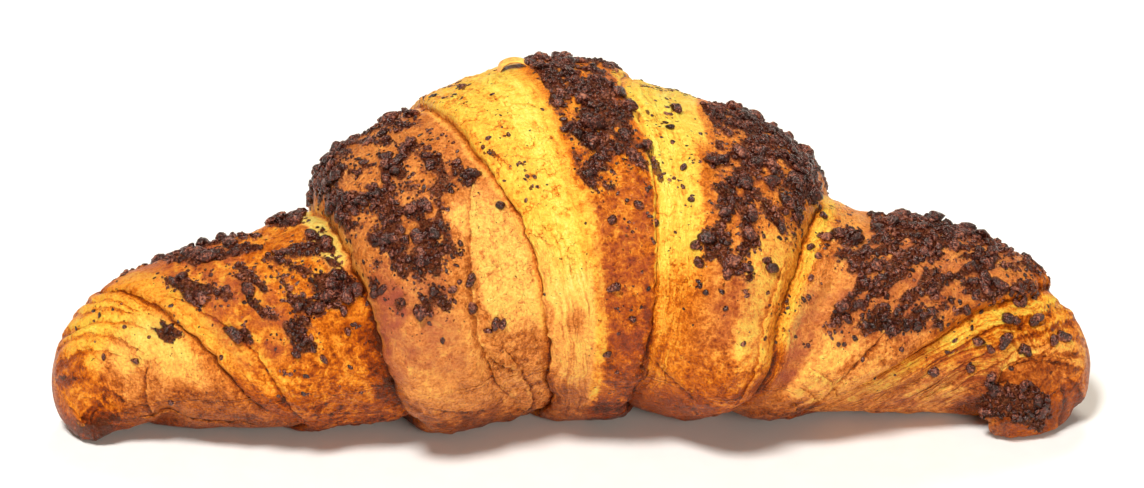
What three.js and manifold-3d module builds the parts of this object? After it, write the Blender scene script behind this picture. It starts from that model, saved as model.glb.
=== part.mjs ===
import * as THREE from 'three';
import { mergeVertices } from 'three/addons/utils/BufferGeometryUtils.js';
import Module from 'manifold-3d';

// A chocolate hazelnut croissant in millimetres, standing on z = 0, with its open side towards -Y.
// It is one solid: a roll of dough whose sections follow a bent spine, with seven wraps that step
// down from the middle to both tips, and the larger chocolate lumps baked onto them.
//
// A place on the surface is given by its wrap, from 0 at the left tip to 7 at the right tip, and by
// its angle round the roll: 0 is underneath, 90 the front, 180 the top and 270 the back.

// Sections of the roll, from the left tip to the right one: the centre x, y, z, the half depth and
// the half height, and the heading of the roll in degrees.
const SECTIONS = [
  [-84.4, -25.8, 5.5, 0.3, 0.3, 60],
  [-84.8, -23.0, 7.2, 6.0, 6.7, 55],
  [-82.5, -19.5, 10.3, 9.5, 9.9, 45],
  [-76.7, -16.5, 13.0, 12.5, 12.6, 30],
  [-64.0, -14.5, 14.8, 15.5, 14.8, 15],
  [-50.0, -12.5, 16.5, 19.0, 16.7, 10],
  [-40.0, -9.0, 18.8, 21.5, 18.8, 6],
  [-25.0, -5.5, 22.0, 26.5, 22.4, 3],
  [-6.0, 1.0, 23.7, 27.5, 24.7, 0],
  [12.0, 1.0, 22.5, 27.0, 23.0, -2],
  [29.0, -3.0, 19.8, 27.0, 20.5, -4],
  [40.5, -5.0, 17.5, 23.5, 17.8, -6],
  [50.0, -7.0, 15.8, 19.5, 15.6, -8],
  [62.0, -7.5, 15.0, 17.0, 15.3, -12],
  [73.0, -9.5, 13.3, 14.5, 13.8, -25],
  [80.5, -15.0, 10.7, 11.5, 11.0, -45],
  [80.8, -19.6, 8.2, 9.4, 8.4, -70],
  [77.0, -22.3, 6.8, 7.8, 6.8, -86],
  [74.6, -25.6, 5.6, 0.3, 0.3, -98],
];

// The seams between the wraps, from left to right. Each has, at the seam angles, its place along x,
// the rise of the upper wrap and the dip beside it, and one width for the rounded shoulder.
const SEAM_ANGLES = [40, 80, 120, 160, 200, 265, 330];
const SEAMS = [
  {
    x: [-48, -57.5, -66.5, -74.5, -77.5, -75, -70],
    rise: [1.0, 1.6, 1.8, 1.5, 1.2, 1.5, 1.0],
    dip: [0.8, 0.8, 0.8, 0.6, 0.5, 0.6, 0.6],
    shoulder: 4,
  },
  {
    x: [-27, -32, -35.5, -41, -43.5, -44.5, -42],
    rise: [2.0, 3.0, 4.0, 5.5, 6.3, 5.5, 3.0],
    dip: [2.5, 1.6, 1.2, 1.4, 2.2, 1.5, 1.5],
    shoulder: 6,
  },
  {
    x: [-5, -4, -6, -16.5, -25.5, -30, -28],
    rise: [1.0, 1.6, 2.2, 2.4, 1.6, 1.6, 1.0],
    dip: [1.8, 0.8, 0.6, 0.5, 0.3, 0.5, 0.8],
    shoulder: 3.5,
  },
  {
    x: [10, 12, 15, 13, 8, 16, 20],
    rise: [1.5, 1.8, 2.0, 1.8, 1.3, 1.6, 1.0],
    dip: [2.0, 0.9, 0.6, 0.5, 0.3, 0.5, 0.8],
    shoulder: 3.5,
  },
  {
    x: [25, 34, 38, 41, 42.5, 44, 43],
    rise: [2.0, 3.0, 4.0, 5.5, 6.3, 5.5, 3.0],
    dip: [2.5, 1.6, 1.0, 1.2, 1.2, 1.2, 1.5],
    shoulder: 9,
  },
  {
    x: [42, 52, 69, 77.3, 78.5, 76, 70],
    rise: [1.0, 1.6, 1.8, 1.8, 1.5, 1.5, 1.0],
    dip: [0.8, 0.8, 0.8, 0.6, 0.5, 0.6, 0.6],
    shoulder: 4.5,
  },
];
const DIP_REACH = 3.5;
const DIP_UNDER_LIP = 1.2;
const WRAPS = SEAMS.length + 1;

// Folds in the wraps. Each runs along its wrap between two angles, through three wrap places spaced
// evenly on the way, as a ridge of the given height or, where that is negative, a groove.
const FOLDS = [
  { angles: [-60, 75], wraps: [0.62, 0.6, 0.7], height: -1.6, width: 3.2 },
  { angles: [120, 235], wraps: [0.88, 0.76, 0.6], height: -0.6, width: 0.8 },
  { angles: [130, 235], wraps: [0.62, 0.53, 0.4], height: -0.6, width: 0.8 },
  { angles: [50, 165], wraps: [1.05, 1.21, 1.08], height: -0.8, width: 1.3 },
  { angles: [50, 142], wraps: [2.76, 2.62, 2.8], height: -1.0, width: 1.3 },
  { angles: [70, 170], wraps: [3.58, 3.52, 3.6], height: 0.6, width: 2.6 },
  { angles: [60, 140], wraps: [4.6, 4.62, 4.7], height: 0.7, width: 3.0 },
  { angles: [60, 150], wraps: [5.3, 5.2, 5.25], height: -0.8, width: 1.6 },
  { angles: [55, 225], wraps: [6.13, 6.17, 6.12], height: -0.7, width: 0.9 },
  { angles: [50, 225], wraps: [6.22, 6.31, 6.22], height: -0.7, width: 0.9 },
];

// Lips near the two tips, where an outer layer ends and the roll goes on thinner towards its tip.
const LIPS = [
  { angles: [85, 245], wraps: [0.45, 0.27, 0.36], drop: 0.9, run: 0.9, towards: -1 },
  { angles: [70, 250], wraps: [0.33, 0.18, 0.12], drop: 0.8, run: 0.9, towards: -1 },
  { angles: [40, 320], wraps: [6.34, 6.69, 6.4], drop: 1.5, run: 1.0, towards: 1 },
];
const FADE = 14;

// Chocolate lumps, in patches over the upper side of each wrap: the wrap range, the angles where the
// patch ends in front and behind, and how many lumps it has. A lump's size is its width.
const PATCHES = [
  { wraps: [0.72, 1.02], angles: [128, 225], lumps: 5 },
  { wraps: [1.2, 1.94], angles: [116, 238], lumps: 19 },
  { wraps: [2.06, 2.84], angles: [118, 236], lumps: 23 },
  { wraps: [3.46, 3.95], angles: [132, 236], lumps: 16 },
  { wraps: [4.38, 4.95], angles: [124, 236], lumps: 20 },
  { wraps: [5.28, 5.97], angles: [122, 236], lumps: 22 },
  { wraps: [6.08, 6.5], angles: [96, 226], lumps: 8 },
  { wraps: [6.76, 6.88], angles: [40, 250], lumps: 5 },
];
const LUMP_WIDTH = [2.6, 5.2];
const LUMP_FLATNESS = 0.6;
const LUMP_SINK = 0.4;
const LUMP_ROUGHNESS = 0.3;
const LUMP_CANDIDATES = 12;
const SEED = 20417;

// A curled flake of crust that stands up as a small arch on top of the middle wrap.
const CURL = { wrap: 3.42, angle: 205, span: 5.6, thickness: 0.7, length: 4.2, heading: 40 };
const CURL_RISE = 1.9;
const CURL_FOOT = 1.2;
const CURL_STEPS = 8;

// The grid of the dough: rows round the roll, and columns in each wrap, closer beside the seams.
const ROWS = 38;
const COLUMNS = [0, 0.035, 0.1, 0.2, 0.35, 0.5, 0.65, 0.8, 0.9, 0.965];
const TIP_COLUMNS = 14;
const FLOOR_BLEND = 0.8;
const NORMAL_STEP = 0.02;
const NORMAL_TURN = 1.5;

const CRUST = new THREE.MeshStandardMaterial({ color: 0xc9832f, roughness: 0.55, metalness: 0 });

const wasm = await Module();
wasm.setup();

const LAST_SECTION = SECTIONS.length - 1;
const MONOTONE_FROM = 2;
const MONOTONE_TO = LAST_SECTION - 2;

// Uniform Catmull-Rom curve through one column of the sections, with straight ends.
function section(column, t) {
  const k = Math.min(Math.max(Math.floor(t), 0), LAST_SECTION - 1);
  const f = t - k;
  const value = (i) => {
    if (i < 0) return 2 * SECTIONS[0][column] - SECTIONS[1][column];
    if (i > LAST_SECTION) return 2 * SECTIONS[LAST_SECTION][column] - SECTIONS[LAST_SECTION - 1][column];
    return SECTIONS[i][column];
  };
  const [a, b, c, d] = [value(k - 1), value(k), value(k + 1), value(k + 2)];
  const linear = (c - a) * f;
  const square = (2 * a - 5 * b + 4 * c - d) * f * f;
  const cubic = (3 * b - 3 * c + d - a) * f * f * f;
  return b + 0.5 * (linear + square + cubic);
}

// The place along the sections where the spine reaches x, found by halving.
function sectionAtX(x) {
  let low = MONOTONE_FROM;
  let high = MONOTONE_TO;
  for (let i = 0; i < 40; i++) {
    const middle = (low + high) / 2;
    if (section(0, middle) < x) low = middle;
    else high = middle;
  }
  return (low + high) / 2;
}

// A smooth closed curve through values given at the seam angles.
function around(values, angle) {
  const n = SEAM_ANGLES.length;
  const turn = (degrees) => ((degrees % 360) + 360) % 360;
  const a = turn(angle);
  let i = n - 1;
  for (let k = 0; k < n; k++) if (SEAM_ANGLES[k] <= a) i = k;
  const at = (k) => (k + n) % n;
  const slope = (k) =>
    (values[at(k + 1)] - values[at(k - 1)]) / turn(SEAM_ANGLES[at(k + 1)] - SEAM_ANGLES[at(k - 1)]);
  const span = turn(SEAM_ANGLES[at(i + 1)] - SEAM_ANGLES[i]);
  const f = turn(a - SEAM_ANGLES[i]) / span;
  const f2 = f * f;
  const f3 = f2 * f;
  const ends = (2 * f3 - 3 * f2 + 1) * values[i] + (3 * f2 - 2 * f3) * values[at(i + 1)];
  return ends + span * ((f3 - 2 * f2 + f) * slope(i) + (f3 - f2) * slope(at(i + 1)));
}

const seamSection = (seam, angle) => sectionAtX(around(seam.x, angle));

// The place along the sections of a wrap place at an angle.
function sectionAt(wrap, angle) {
  const k = Math.min(Math.floor(wrap), WRAPS - 1);
  const left = k === 0 ? 0 : seamSection(SEAMS[k - 1], angle);
  const right = k === WRAPS - 1 ? LAST_SECTION : seamSection(SEAMS[k], angle);
  return left + (right - left) * (wrap - k);
}

// Signed distance in plan between two places along the spine.
function along(from, to) {
  const length = Math.hypot(section(0, to) - section(0, from), section(1, to) - section(1, from));
  return Math.sign(to - from) * length;
}

const smooth = (f) => f * f * (3 - 2 * f);
const clamp01 = (value) => Math.min(Math.max(value, 0), 1);

function shoulder(distance, width) {
  const q = clamp01(distance / width);
  return Math.sqrt(1 - (1 - q) ** 2);
}

// How far the wraps stand proud of the bare roll: the seams pair up round the middle wrap, and
// between the two seams of a pair everything lies one layer higher.
function wrapRise(t, angle) {
  let height = 0;
  for (let k = 0; k < SEAMS.length / 2; k++) {
    const left = SEAMS[k];
    const right = SEAMS[SEAMS.length - 1 - k];
    const leftAt = seamSection(left, angle);
    const rightAt = seamSection(right, angle);
    const fromLeft = along(leftAt, t);
    const toRight = along(t, rightAt);
    const blend = smooth(clamp01((t - leftAt) / (rightAt - leftAt)));
    const rise = around(left.rise, angle) * (1 - blend) + around(right.rise, angle) * blend;
    height += rise * shoulder(fromLeft, left.shoulder) * shoulder(toRight, right.shoulder);
    for (const [distance, seam] of [[fromLeft, left], [toRight, right]]) {
      const reach = distance < 0 ? DIP_REACH : DIP_UNDER_LIP;
      height -= around(seam.dip, angle) * Math.exp(-Math.abs(distance) / reach);
    }
  }
  return height;
}

// The place along the sections where a fold or lip crosses an angle, and how much of it is left
// there, from 1 to 0 where it has faded out.
function crossing(feature, angle) {
  const [from, to] = feature.angles;
  const a = angle > to ? angle - 360 : angle;
  const left = clamp01((a - from) / FADE) * clamp01((to - a) / FADE);
  if (left === 0) return { left };
  const f = (a - from) / (to - from);
  const [start, middle, end] = feature.wraps;
  const wrap = start * (1 - f) * (1 - 2 * f) + middle * 4 * f * (1 - f) + end * f * (2 * f - 1);
  return { left, t: sectionAt(wrap, angle) };
}

function foldHeight(t, angle) {
  let height = 0;
  for (const fold of FOLDS) {
    const { left, t: centre } = crossing(fold, angle);
    if (left > 0) height += left * fold.height * Math.exp(-((along(centre, t) / fold.width) ** 2));
  }
  for (const lip of LIPS) {
    const { left, t: edge } = crossing(lip, angle);
    if (left > 0) height -= left * lip.drop * smooth(clamp01((along(edge, t) * lip.towards) / lip.run));
  }
  return height;
}

// The dough settles flat on z = 0, with a small round where it leaves the floor.
function settle(z) {
  if (z > 2 * FLOOR_BLEND) return z;
  if (z < -2 * FLOOR_BLEND) return 0;
  return (z + 2 * FLOOR_BLEND) ** 2 / (8 * FLOOR_BLEND);
}

function surfacePoint(wrap, angle) {
  const t = sectionAt(wrap, angle);
  const depth = section(3, t);
  const height = section(4, t);
  const heading = THREE.MathUtils.degToRad(section(5, t));
  const turned = THREE.MathUtils.degToRad(angle);
  const forward = Math.sin(turned);
  const up = -Math.cos(turned);
  const out = new THREE.Vector2(forward / Math.max(depth, 1), up / Math.max(height, 1)).normalize();
  const proud = wrapRise(t, angle) + foldHeight(t, angle);
  const fromSpine = depth * forward + proud * out.x;
  const z = section(2, t) + height * up + proud * out.y;
  return new THREE.Vector3(
    section(0, t) + fromSpine * Math.sin(heading),
    section(1, t) - fromSpine * Math.cos(heading),
    settle(z),
  );
}

function surfaceNormal(wrap, angle) {
  const acrossRoll = surfacePoint(wrap, angle + NORMAL_TURN).sub(surfacePoint(wrap, angle - NORMAL_TURN));
  const alongRoll = surfacePoint(wrap + NORMAL_STEP, angle).sub(surfacePoint(wrap - NORMAL_STEP, angle));
  return alongRoll.cross(acrossRoll).normalize();
}

// The dough as one closed mesh: a point at each tip and rings between them.
function doughGeometry() {
  const wraps = [];
  for (let k = 0; k < WRAPS; k++) {
    if (k > 0 && k < WRAPS - 1) wraps.push(...COLUMNS.map((f) => k + f));
    else for (let i = k ? 0 : 1; i < TIP_COLUMNS; i++) wraps.push(k + i / TIP_COLUMNS);
  }
  const tip = (t) => [section(0, t), section(1, t), section(2, t)];
  const positions = [...tip(0)];
  for (const wrap of wraps) {
    for (let row = 0; row < ROWS; row++) {
      positions.push(...surfacePoint(wrap, (row * 360) / ROWS).toArray());
    }
  }
  positions.push(...tip(LAST_SECTION));
  const vertex = (ring, row) => 1 + ring * ROWS + (row % ROWS);
  const end = 1 + wraps.length * ROWS;
  const faces = [];
  for (let row = 0; row < ROWS; row++) {
    faces.push(0, vertex(0, row), vertex(0, row + 1));
    for (let ring = 0; ring < wraps.length - 1; ring++) {
      faces.push(vertex(ring, row), vertex(ring + 1, row), vertex(ring + 1, row + 1));
      faces.push(vertex(ring, row), vertex(ring + 1, row + 1), vertex(ring, row + 1));
    }
    faces.push(end, vertex(wraps.length - 1, row + 1), vertex(wraps.length - 1, row));
  }
  const geometry = new THREE.BufferGeometry();
  geometry.setAttribute('position', new THREE.Float32BufferAttribute(positions, 3));
  geometry.setIndex(faces);
  return geometry;
}

// A small generator of random numbers from 0 to 1, with a fixed seed.
let randomState = SEED;
function random() {
  randomState = (randomState + 0x6d2b79f5) | 0;
  let mixed = Math.imul(randomState ^ (randomState >>> 15), 1 | randomState);
  mixed = (mixed + Math.imul(mixed ^ (mixed >>> 7), 61 | mixed)) ^ mixed;
  return ((mixed ^ (mixed >>> 14)) >>> 0) / 4294967296;
}

const between = ([low, high]) => low + (high - low) * random();

// Lump places in a patch: each is the candidate that lies farthest from the lumps before it.
function lumpPlaces(patch) {
  const places = [];
  while (places.length < patch.lumps) {
    let best = { room: -1 };
    for (let k = 0; k < LUMP_CANDIDATES; k++) {
      const wrap = between(patch.wraps);
      const angle = between(patch.angles);
      const point = surfacePoint(wrap, angle);
      const room = Math.min(...places.map((place) => place.point.distanceTo(point)));
      if (room > best.room) best = { wrap, angle, point, room };
    }
    places.push(best);
  }
  return places;
}

// A rough lump of 20 faces, pressed a little into the crust.
function lumpGeometry(place) {
  const width = between(LUMP_WIDTH);
  const stretch = between([0.8, 1.25]);
  const spin = between([0, 2 * Math.PI]);
  const geometry = mergePositions(new THREE.IcosahedronGeometry(width / 2, 0));
  const position = geometry.getAttribute('position');
  for (let i = 0; i < position.count; i++) {
    const scale = 1 + LUMP_ROUGHNESS * (random() - 0.5);
    position.setXYZ(i, position.getX(i) * scale, position.getY(i) * scale, position.getZ(i) * scale);
  }
  geometry.scale(stretch, 1 / stretch, LUMP_FLATNESS);
  geometry.rotateZ(spin);
  const normal = surfaceNormal(place.wrap, place.angle);
  const turn = new THREE.Quaternion().setFromUnitVectors(new THREE.Vector3(0, 0, 1), normal);
  geometry.applyQuaternion(turn);
  const sunk = place.point.clone().addScaledVector(normal, (0.5 - LUMP_SINK) * width * LUMP_FLATNESS);
  geometry.translate(sunk.x, sunk.y, sunk.z);
  return geometry;
}

// The curled flake: half a ring on two straight feet, which stand in the crust.
function curlGeometry() {
  const outer = CURL.span / 2;
  const inner = outer - CURL.thickness;
  const arch = new THREE.Shape();
  arch.absarc(0, 0, outer, 0, Math.PI, false);
  arch.lineTo(-outer, -CURL_FOOT);
  arch.lineTo(-inner, -CURL_FOOT);
  arch.absarc(0, 0, inner, Math.PI, 0, true);
  arch.lineTo(inner, -CURL_FOOT);
  arch.lineTo(outer, -CURL_FOOT);
  const settings = { depth: CURL.length, bevelEnabled: false, curveSegments: CURL_STEPS };
  const geometry = mergePositions(new THREE.ExtrudeGeometry(arch, settings));
  geometry.rotateX(Math.PI / 2);
  geometry.translate(0, CURL.length / 2, CURL_RISE - outer);
  geometry.rotateZ(THREE.MathUtils.degToRad(CURL.heading));
  const foot = surfacePoint(CURL.wrap, CURL.angle);
  geometry.translate(foot.x, foot.y, foot.z);
  return geometry;
}

function mergePositions(geometry) {
  geometry.deleteAttribute('normal');
  geometry.deleteAttribute('uv');
  return mergeVertices(geometry);
}

function solidOf(geometry) {
  const vertProperties = new Float32Array(geometry.getAttribute('position').array);
  const triVerts = new Uint32Array(geometry.getIndex().array);
  return new wasm.Manifold(new wasm.Mesh({ numProp: 3, vertProperties, triVerts }));
}

function geometryOf(solid) {
  const mesh = solid.getMesh();
  const geometry = new THREE.BufferGeometry();
  geometry.setAttribute('position', new THREE.Float32BufferAttribute(mesh.vertProperties, 3));
  geometry.setIndex(new THREE.Uint32BufferAttribute(mesh.triVerts, 1));
  return geometry;
}

let whole = solidOf(doughGeometry()).add(solidOf(curlGeometry()));
for (const patch of PATCHES) {
  for (const place of lumpPlaces(patch)) whole = whole.add(solidOf(lumpGeometry(place)));
}
const geometry = geometryOf(whole);

// The origin is under the middle of the croissant's box.
geometry.computeBoundingBox();
const middle = geometry.boundingBox.getCenter(new THREE.Vector3());
geometry.translate(-middle.x, -middle.y, -geometry.boundingBox.min.z);
geometry.computeVertexNormals();

const croissant = new THREE.Mesh(geometry, CRUST);
croissant.name = 'croissant';

const part = new THREE.Group();
part.add(croissant);

export default part;
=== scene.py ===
"""A chocolate hazelnut croissant on a pale floor: its crust, the chocolate on it and a curled flake."""

import math

import bmesh
import bpy
import numpy as np
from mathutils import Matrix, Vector


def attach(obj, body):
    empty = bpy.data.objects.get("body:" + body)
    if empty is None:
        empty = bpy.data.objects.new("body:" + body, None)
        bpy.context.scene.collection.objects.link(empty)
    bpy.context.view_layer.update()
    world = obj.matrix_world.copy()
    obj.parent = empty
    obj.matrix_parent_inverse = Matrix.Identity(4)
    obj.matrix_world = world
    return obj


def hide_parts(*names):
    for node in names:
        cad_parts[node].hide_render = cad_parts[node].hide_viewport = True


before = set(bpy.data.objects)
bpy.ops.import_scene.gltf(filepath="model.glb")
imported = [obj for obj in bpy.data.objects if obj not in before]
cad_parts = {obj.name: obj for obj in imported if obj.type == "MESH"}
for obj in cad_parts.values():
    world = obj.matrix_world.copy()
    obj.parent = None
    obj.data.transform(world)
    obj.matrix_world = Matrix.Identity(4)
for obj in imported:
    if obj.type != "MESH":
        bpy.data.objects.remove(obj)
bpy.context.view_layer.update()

MM = 0.001
IMAGE_WIDTH = 1144

# --- The roll of dough ---

# Lengths are in millimetres. A place on the roll is its wrap, from 0 at the left tip to 7 at the right
# tip, and its angle: 0 underneath, 90 in front, 180 on top, 270 behind.

# Each section of the roll, as in the solid, and what its columns hold.
X, Y, Z, HALF_DEPTH, HALF_HEIGHT, HEADING = range(6)
SECTIONS = np.array([
    [-84.4, -25.8, 5.5, 0.3, 0.3, 60],
    [-84.8, -23.0, 7.2, 6.0, 6.7, 55],
    [-82.5, -19.5, 10.3, 9.5, 9.9, 45],
    [-76.7, -16.5, 13.0, 12.5, 12.6, 30],
    [-64.0, -14.5, 14.8, 15.5, 14.8, 15],
    [-50.0, -12.5, 16.5, 19.0, 16.7, 10],
    [-40.0, -9.0, 18.8, 21.5, 18.8, 6],
    [-25.0, -5.5, 22.0, 26.5, 22.4, 3],
    [-6.0, 1.0, 23.7, 27.5, 24.7, 0],
    [12.0, 1.0, 22.5, 27.0, 23.0, -2],
    [29.0, -3.0, 19.8, 27.0, 20.5, -4],
    [40.5, -5.0, 17.5, 23.5, 17.8, -6],
    [50.0, -7.0, 15.8, 19.5, 15.6, -8],
    [62.0, -7.5, 15.0, 17.0, 15.3, -12],
    [73.0, -9.5, 13.3, 14.5, 13.8, -25],
    [80.5, -15.0, 10.7, 11.5, 11.0, -45],
    [80.8, -19.6, 8.2, 9.4, 8.4, -70],
    [77.0, -22.3, 6.8, 7.8, 6.8, -86],
    [74.6, -25.6, 5.6, 0.3, 0.3, -98],
])
LAST = len(SECTIONS) - 1
MIDDLE = (-0.027, 0.276)  # of the solid's box, in plan

# Each seam's place along x, the rise of the upper wrap and the dip beside it at the seam angles,
# the width of its shoulder, and how far its lip hangs over.
SEAM_ANGLES = np.array([40.0, 80, 120, 160, 200, 265, 330])
SEAMS = [
    dict(x=[-48, -57.5, -66.5, -74.5, -77.5, -75, -70], rise=[1.0, 1.3, 1.3, 1.2, 1.1, 1.5, 1.0],
         dip=[0.8, 0.5, 0.4, 0.4, 0.5, 0.6, 0.6], shoulder=4.0, lip=0.7),
    dict(x=[-27, -32, -35.5, -41, -43.5, -44.5, -42], rise=[2.0, 3.0, 4.0, 5.5, 6.3, 5.5, 3.0],
         dip=[2.5, 1.6, 1.2, 1.4, 2.2, 1.5, 1.5], shoulder=6.0, lip=0.9),
    dict(x=[-5, -4, -6, -16.5, -25.5, -30, -28], rise=[1.0, 1.2, 1.5, 2.1, 1.6, 1.6, 1.0],
         dip=[1.8, 0.7, 0.4, 0.4, 0.3, 0.5, 0.8], shoulder=3.5, lip=1.0),
    dict(x=[10, 12, 15, 13, 8, 16, 20], rise=[1.4, 1.3, 1.3, 1.3, 1.2, 1.6, 1.0],
         dip=[2.0, 0.8, 0.4, 0.4, 0.3, 0.5, 0.8], shoulder=3.5, lip=0.8),
    dict(x=[25, 34, 38, 41, 42.5, 44, 43], rise=[2.0, 3.0, 4.0, 5.5, 6.3, 5.5, 3.0],
         dip=[2.5, 1.0, 0.4, 0.5, 0.7, 1.2, 1.5], shoulder=9.0, lip=0.3),
    dict(x=[42, 52, 69, 77.3, 78.5, 76, 70], rise=[1.0, 1.6, 1.8, 1.8, 1.5, 1.5, 1.0],
         dip=[0.8, 0.8, 0.8, 0.6, 0.5, 0.6, 0.6], shoulder=4.5, lip=0.6),
]
DIP_REACH, DIP_UNDER_LIP = 3.5, 1.2
WRAPS = len(SEAMS) + 1
# The side of each seam that its upper wrap lies on: 1 right of it, -1 left of it.
SIDES = [1, 1, 1, -1, -1, -1]
# Angles where the seams show as edges, as browning and painted shade, and as lips; how softly they end.
EDGE_BAND, SEAM_SHADE_BAND, LIP_BAND = (20, 330, 30), (60, 300, 40), (30, 330, 40)

# Folds round the roll: angles from and to, three wrap places on the way, height (below 0 for a
# groove) and width.
FOLDS = [
    ((-60, 75), (0.62, 0.6, 0.7), -1.6, 3.2),
    ((120, 235), (0.88, 0.76, 0.6), -0.6, 0.8),
    ((130, 235), (0.62, 0.53, 0.4), -0.6, 0.8),
    ((50, 165), (1.05, 1.21, 1.08), -0.6, 1.5),
    ((50, 142), (2.76, 2.62, 2.8), -1.0, 1.3),
    ((70, 170), (3.58, 3.52, 3.6), 0.6, 2.6),
    ((60, 140), (4.6, 4.62, 4.7), 0.7, 3.0),
    ((60, 150), (5.3, 5.2, 5.25), -0.8, 1.6),
    ((55, 225), (6.13, 6.17, 6.12), -0.7, 0.9),
    ((50, 225), (6.22, 6.31, 6.22), -0.7, 0.9),
]
# Lips round the roll: places as for the folds, then the drop, its run and the side that drops, 1 to
# the right and -1 to the left.
LIPS = [
    ((85, 245), (0.45, 0.27, 0.36), 0.9, 0.9, -1),
    ((70, 250), (0.33, 0.18, 0.12), 0.8, 0.9, -1),
    ((40, 320), (6.34, 6.69, 6.4), 1.5, 1.0, 1),
]
# Edges of thin layers, written as the lips are.
LAYERS = [
    ((150, 246), (0.92, 0.91, 0.9), 0.45, 0.5, -1),
    ((150, 246), (0.9, 0.82, 0.79), 0.35, 0.5, -1),
    ((136, 246), (0.88, 0.73, 0.64), 0.5, 0.5, -1),
    ((120, 246), (0.74, 0.62, 0.52), 0.35, 0.5, -1),
    ((130, 240), (0.6, 0.5, 0.43), 0.4, 0.5, -1),
    ((128, 240), (0.3, 0.2, 0.13), 0.4, 0.5, -1),
    ((60, 125), (0.38, 0.33, 0.3), 0.4, 0.5, -1),
    ((46, 112), (0.66, 0.6, 0.72), 0.3, 0.5, -1),
    ((52, 160), (1.08, 1.22, 1.06), 0.25, 0.5, -1),
    ((60, 152), (2.8, 2.6, 2.92), 0.5, 0.6, -1),
    ((40, 96), (2.72, 2.86, 2.66), 0.3, 0.4, 1),
    ((70, 140), (4.78, 4.84, 4.9), 0.25, 0.4, -1),
    ((50, 120), (5.86, 5.7, 5.66), 0.3, 0.4, 1),
    ((55, 240), (6.1, 6.12, 6.05), 0.3, 0.4, 1),
    ((60, 240), (6.2, 6.24, 6.16), 0.3, 0.4, 1),
    ((66, 245), (6.3, 6.33, 6.28), 0.3, 0.4, 1),
    ((100, 245), (6.42, 6.46, 6.4), 0.35, 0.4, 1),
    ((110, 250), (6.52, 6.56, 6.5), 0.35, 0.4, 1),
    ((120, 330), (6.74, 6.68, 6.66), 0.4, 0.4, -1),
]
# Edges that run along the roll: wraps from and to, three angles on the way, drop, and the side that
# drops, 1 upwards and -1 downwards.
CREASES = [
    ((4.08, 4.46), (87, 80, 74), 0.4, -1),
    ((5.3, 6.0), (94, 85, 66), 0.35, 1),
    ((5.35, 5.9), (82, 74, 60), 0.3, 1),
    ((5.5, 5.8), (70, 64, 56), 0.25, 1),
    ((2.56, 2.86), (98, 84, 82), 0.5, -1),
    ((2.2, 2.56), (74, 66, 62), 0.25, -1),
    ((1.3, 1.75), (70, 62, 58), 0.25, -1),
    ((4.5, 4.9), (68, 60, 62), 0.25, 1),
    ((0.06, 0.4), (64, 96, 78), 0.5, 1),
    ((0.5, 0.9), (62, 56, 50), 0.3, 1),
    ((6.2, 6.6), (176, 190, 186), 0.4, 1),
    ((6.66, 6.8), (250, 246, 252), 0.4, 1),
]
EDGE_REACH, EDGE_RUN = 1.2, 0.5
FOLD_FADE, CREASE_FADE = 14.0, 0.06
FLOOR_BLEND = 0.8
FAR = 9.0
MEAN_RISE = 3  # of the wraps over their sections
LAYER_STEP = 9  # between two wraps' noise, so that they have nothing in common
# Heights of the small relief: see Crust.small_relief.
SWELL, WRINKLE, STREAK, CRINKLE, FINE_CRINKLE, BLISTER = 0.5, 0.2, 0.13, 0.3, 0.16, 0.35
MELTED, MELTED_LUMPS = 0.4, 0.5


def smooth(f):
    """From 0 to 1 as f does, level at both ends."""
    f = np.clip(f, 0, 1)
    return f * f * (3 - 2 * f)


def band(value, low, high, soft):
    """1 between low and high, fading out over soft on both sides."""
    return smooth((value - low) / soft + 0.5) * smooth((high - value) / soft + 0.5)


def between_ends(value, start, end, fade):
    """1 between start and end, falling to 0 at both over fade."""
    return np.clip((value - start) / fade, 0, 1) * np.clip((end - value) / fade, 0, 1)


def bend(values, f):
    """The curve through three values, where f is 0, 0.5 and 1."""
    first, middle, last = values
    return first * (1 - f) * (1 - 2 * f) + middle * 4 * f * (1 - f) + last * f * (2 * f - 1)


def section(column, t):
    """Uniform Catmull-Rom curve through one column of the sections, with straight ends."""
    values = SECTIONS[:, column]
    ends = (2 * values[:1] - values[1:2], values, 2 * values[-1:] - values[-2:-1])
    padded = np.concatenate(ends)
    k = np.clip(np.floor(t).astype(int), 0, LAST - 1)
    f = t - k
    a, b, c, d = (padded[k + i] for i in range(4))
    linear = (c - a) * f
    square = (2 * a - 5 * b + 4 * c - d) * f**2
    cubic = (3 * b - 3 * c + d - a) * f**3
    return b + 0.5 * (linear + square + cubic)


SEAM_PLACES = np.linspace(2, LAST - 2, 4001)
SEAM_X = section(X, SEAM_PLACES)


def around(values, angle):
    """A smooth closed curve through values given at the seam angles."""
    values = np.asarray(values, float)
    knots = SEAM_ANGLES
    n = len(knots)
    a = np.mod(angle, 360.0)
    i = np.searchsorted(knots, a, side="right") - 1
    i = np.where(i < 0, n - 1, i)
    j = (i + 1) % n
    gaps = np.mod(np.roll(knots, -1) - np.roll(knots, 1), 360.0)
    slopes = (np.roll(values, -1) - np.roll(values, 1)) / gaps
    span = np.mod(knots[j] - knots[i], 360.0)
    f = np.mod(a - knots[i], 360.0) / span
    ends = (2 * f**3 - 3 * f**2 + 1) * values[i] + (3 * f**2 - 2 * f**3) * values[j]
    return ends + span * ((f**3 - 2 * f**2 + f) * slopes[i] + (f**3 - f**2) * slopes[j])


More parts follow.
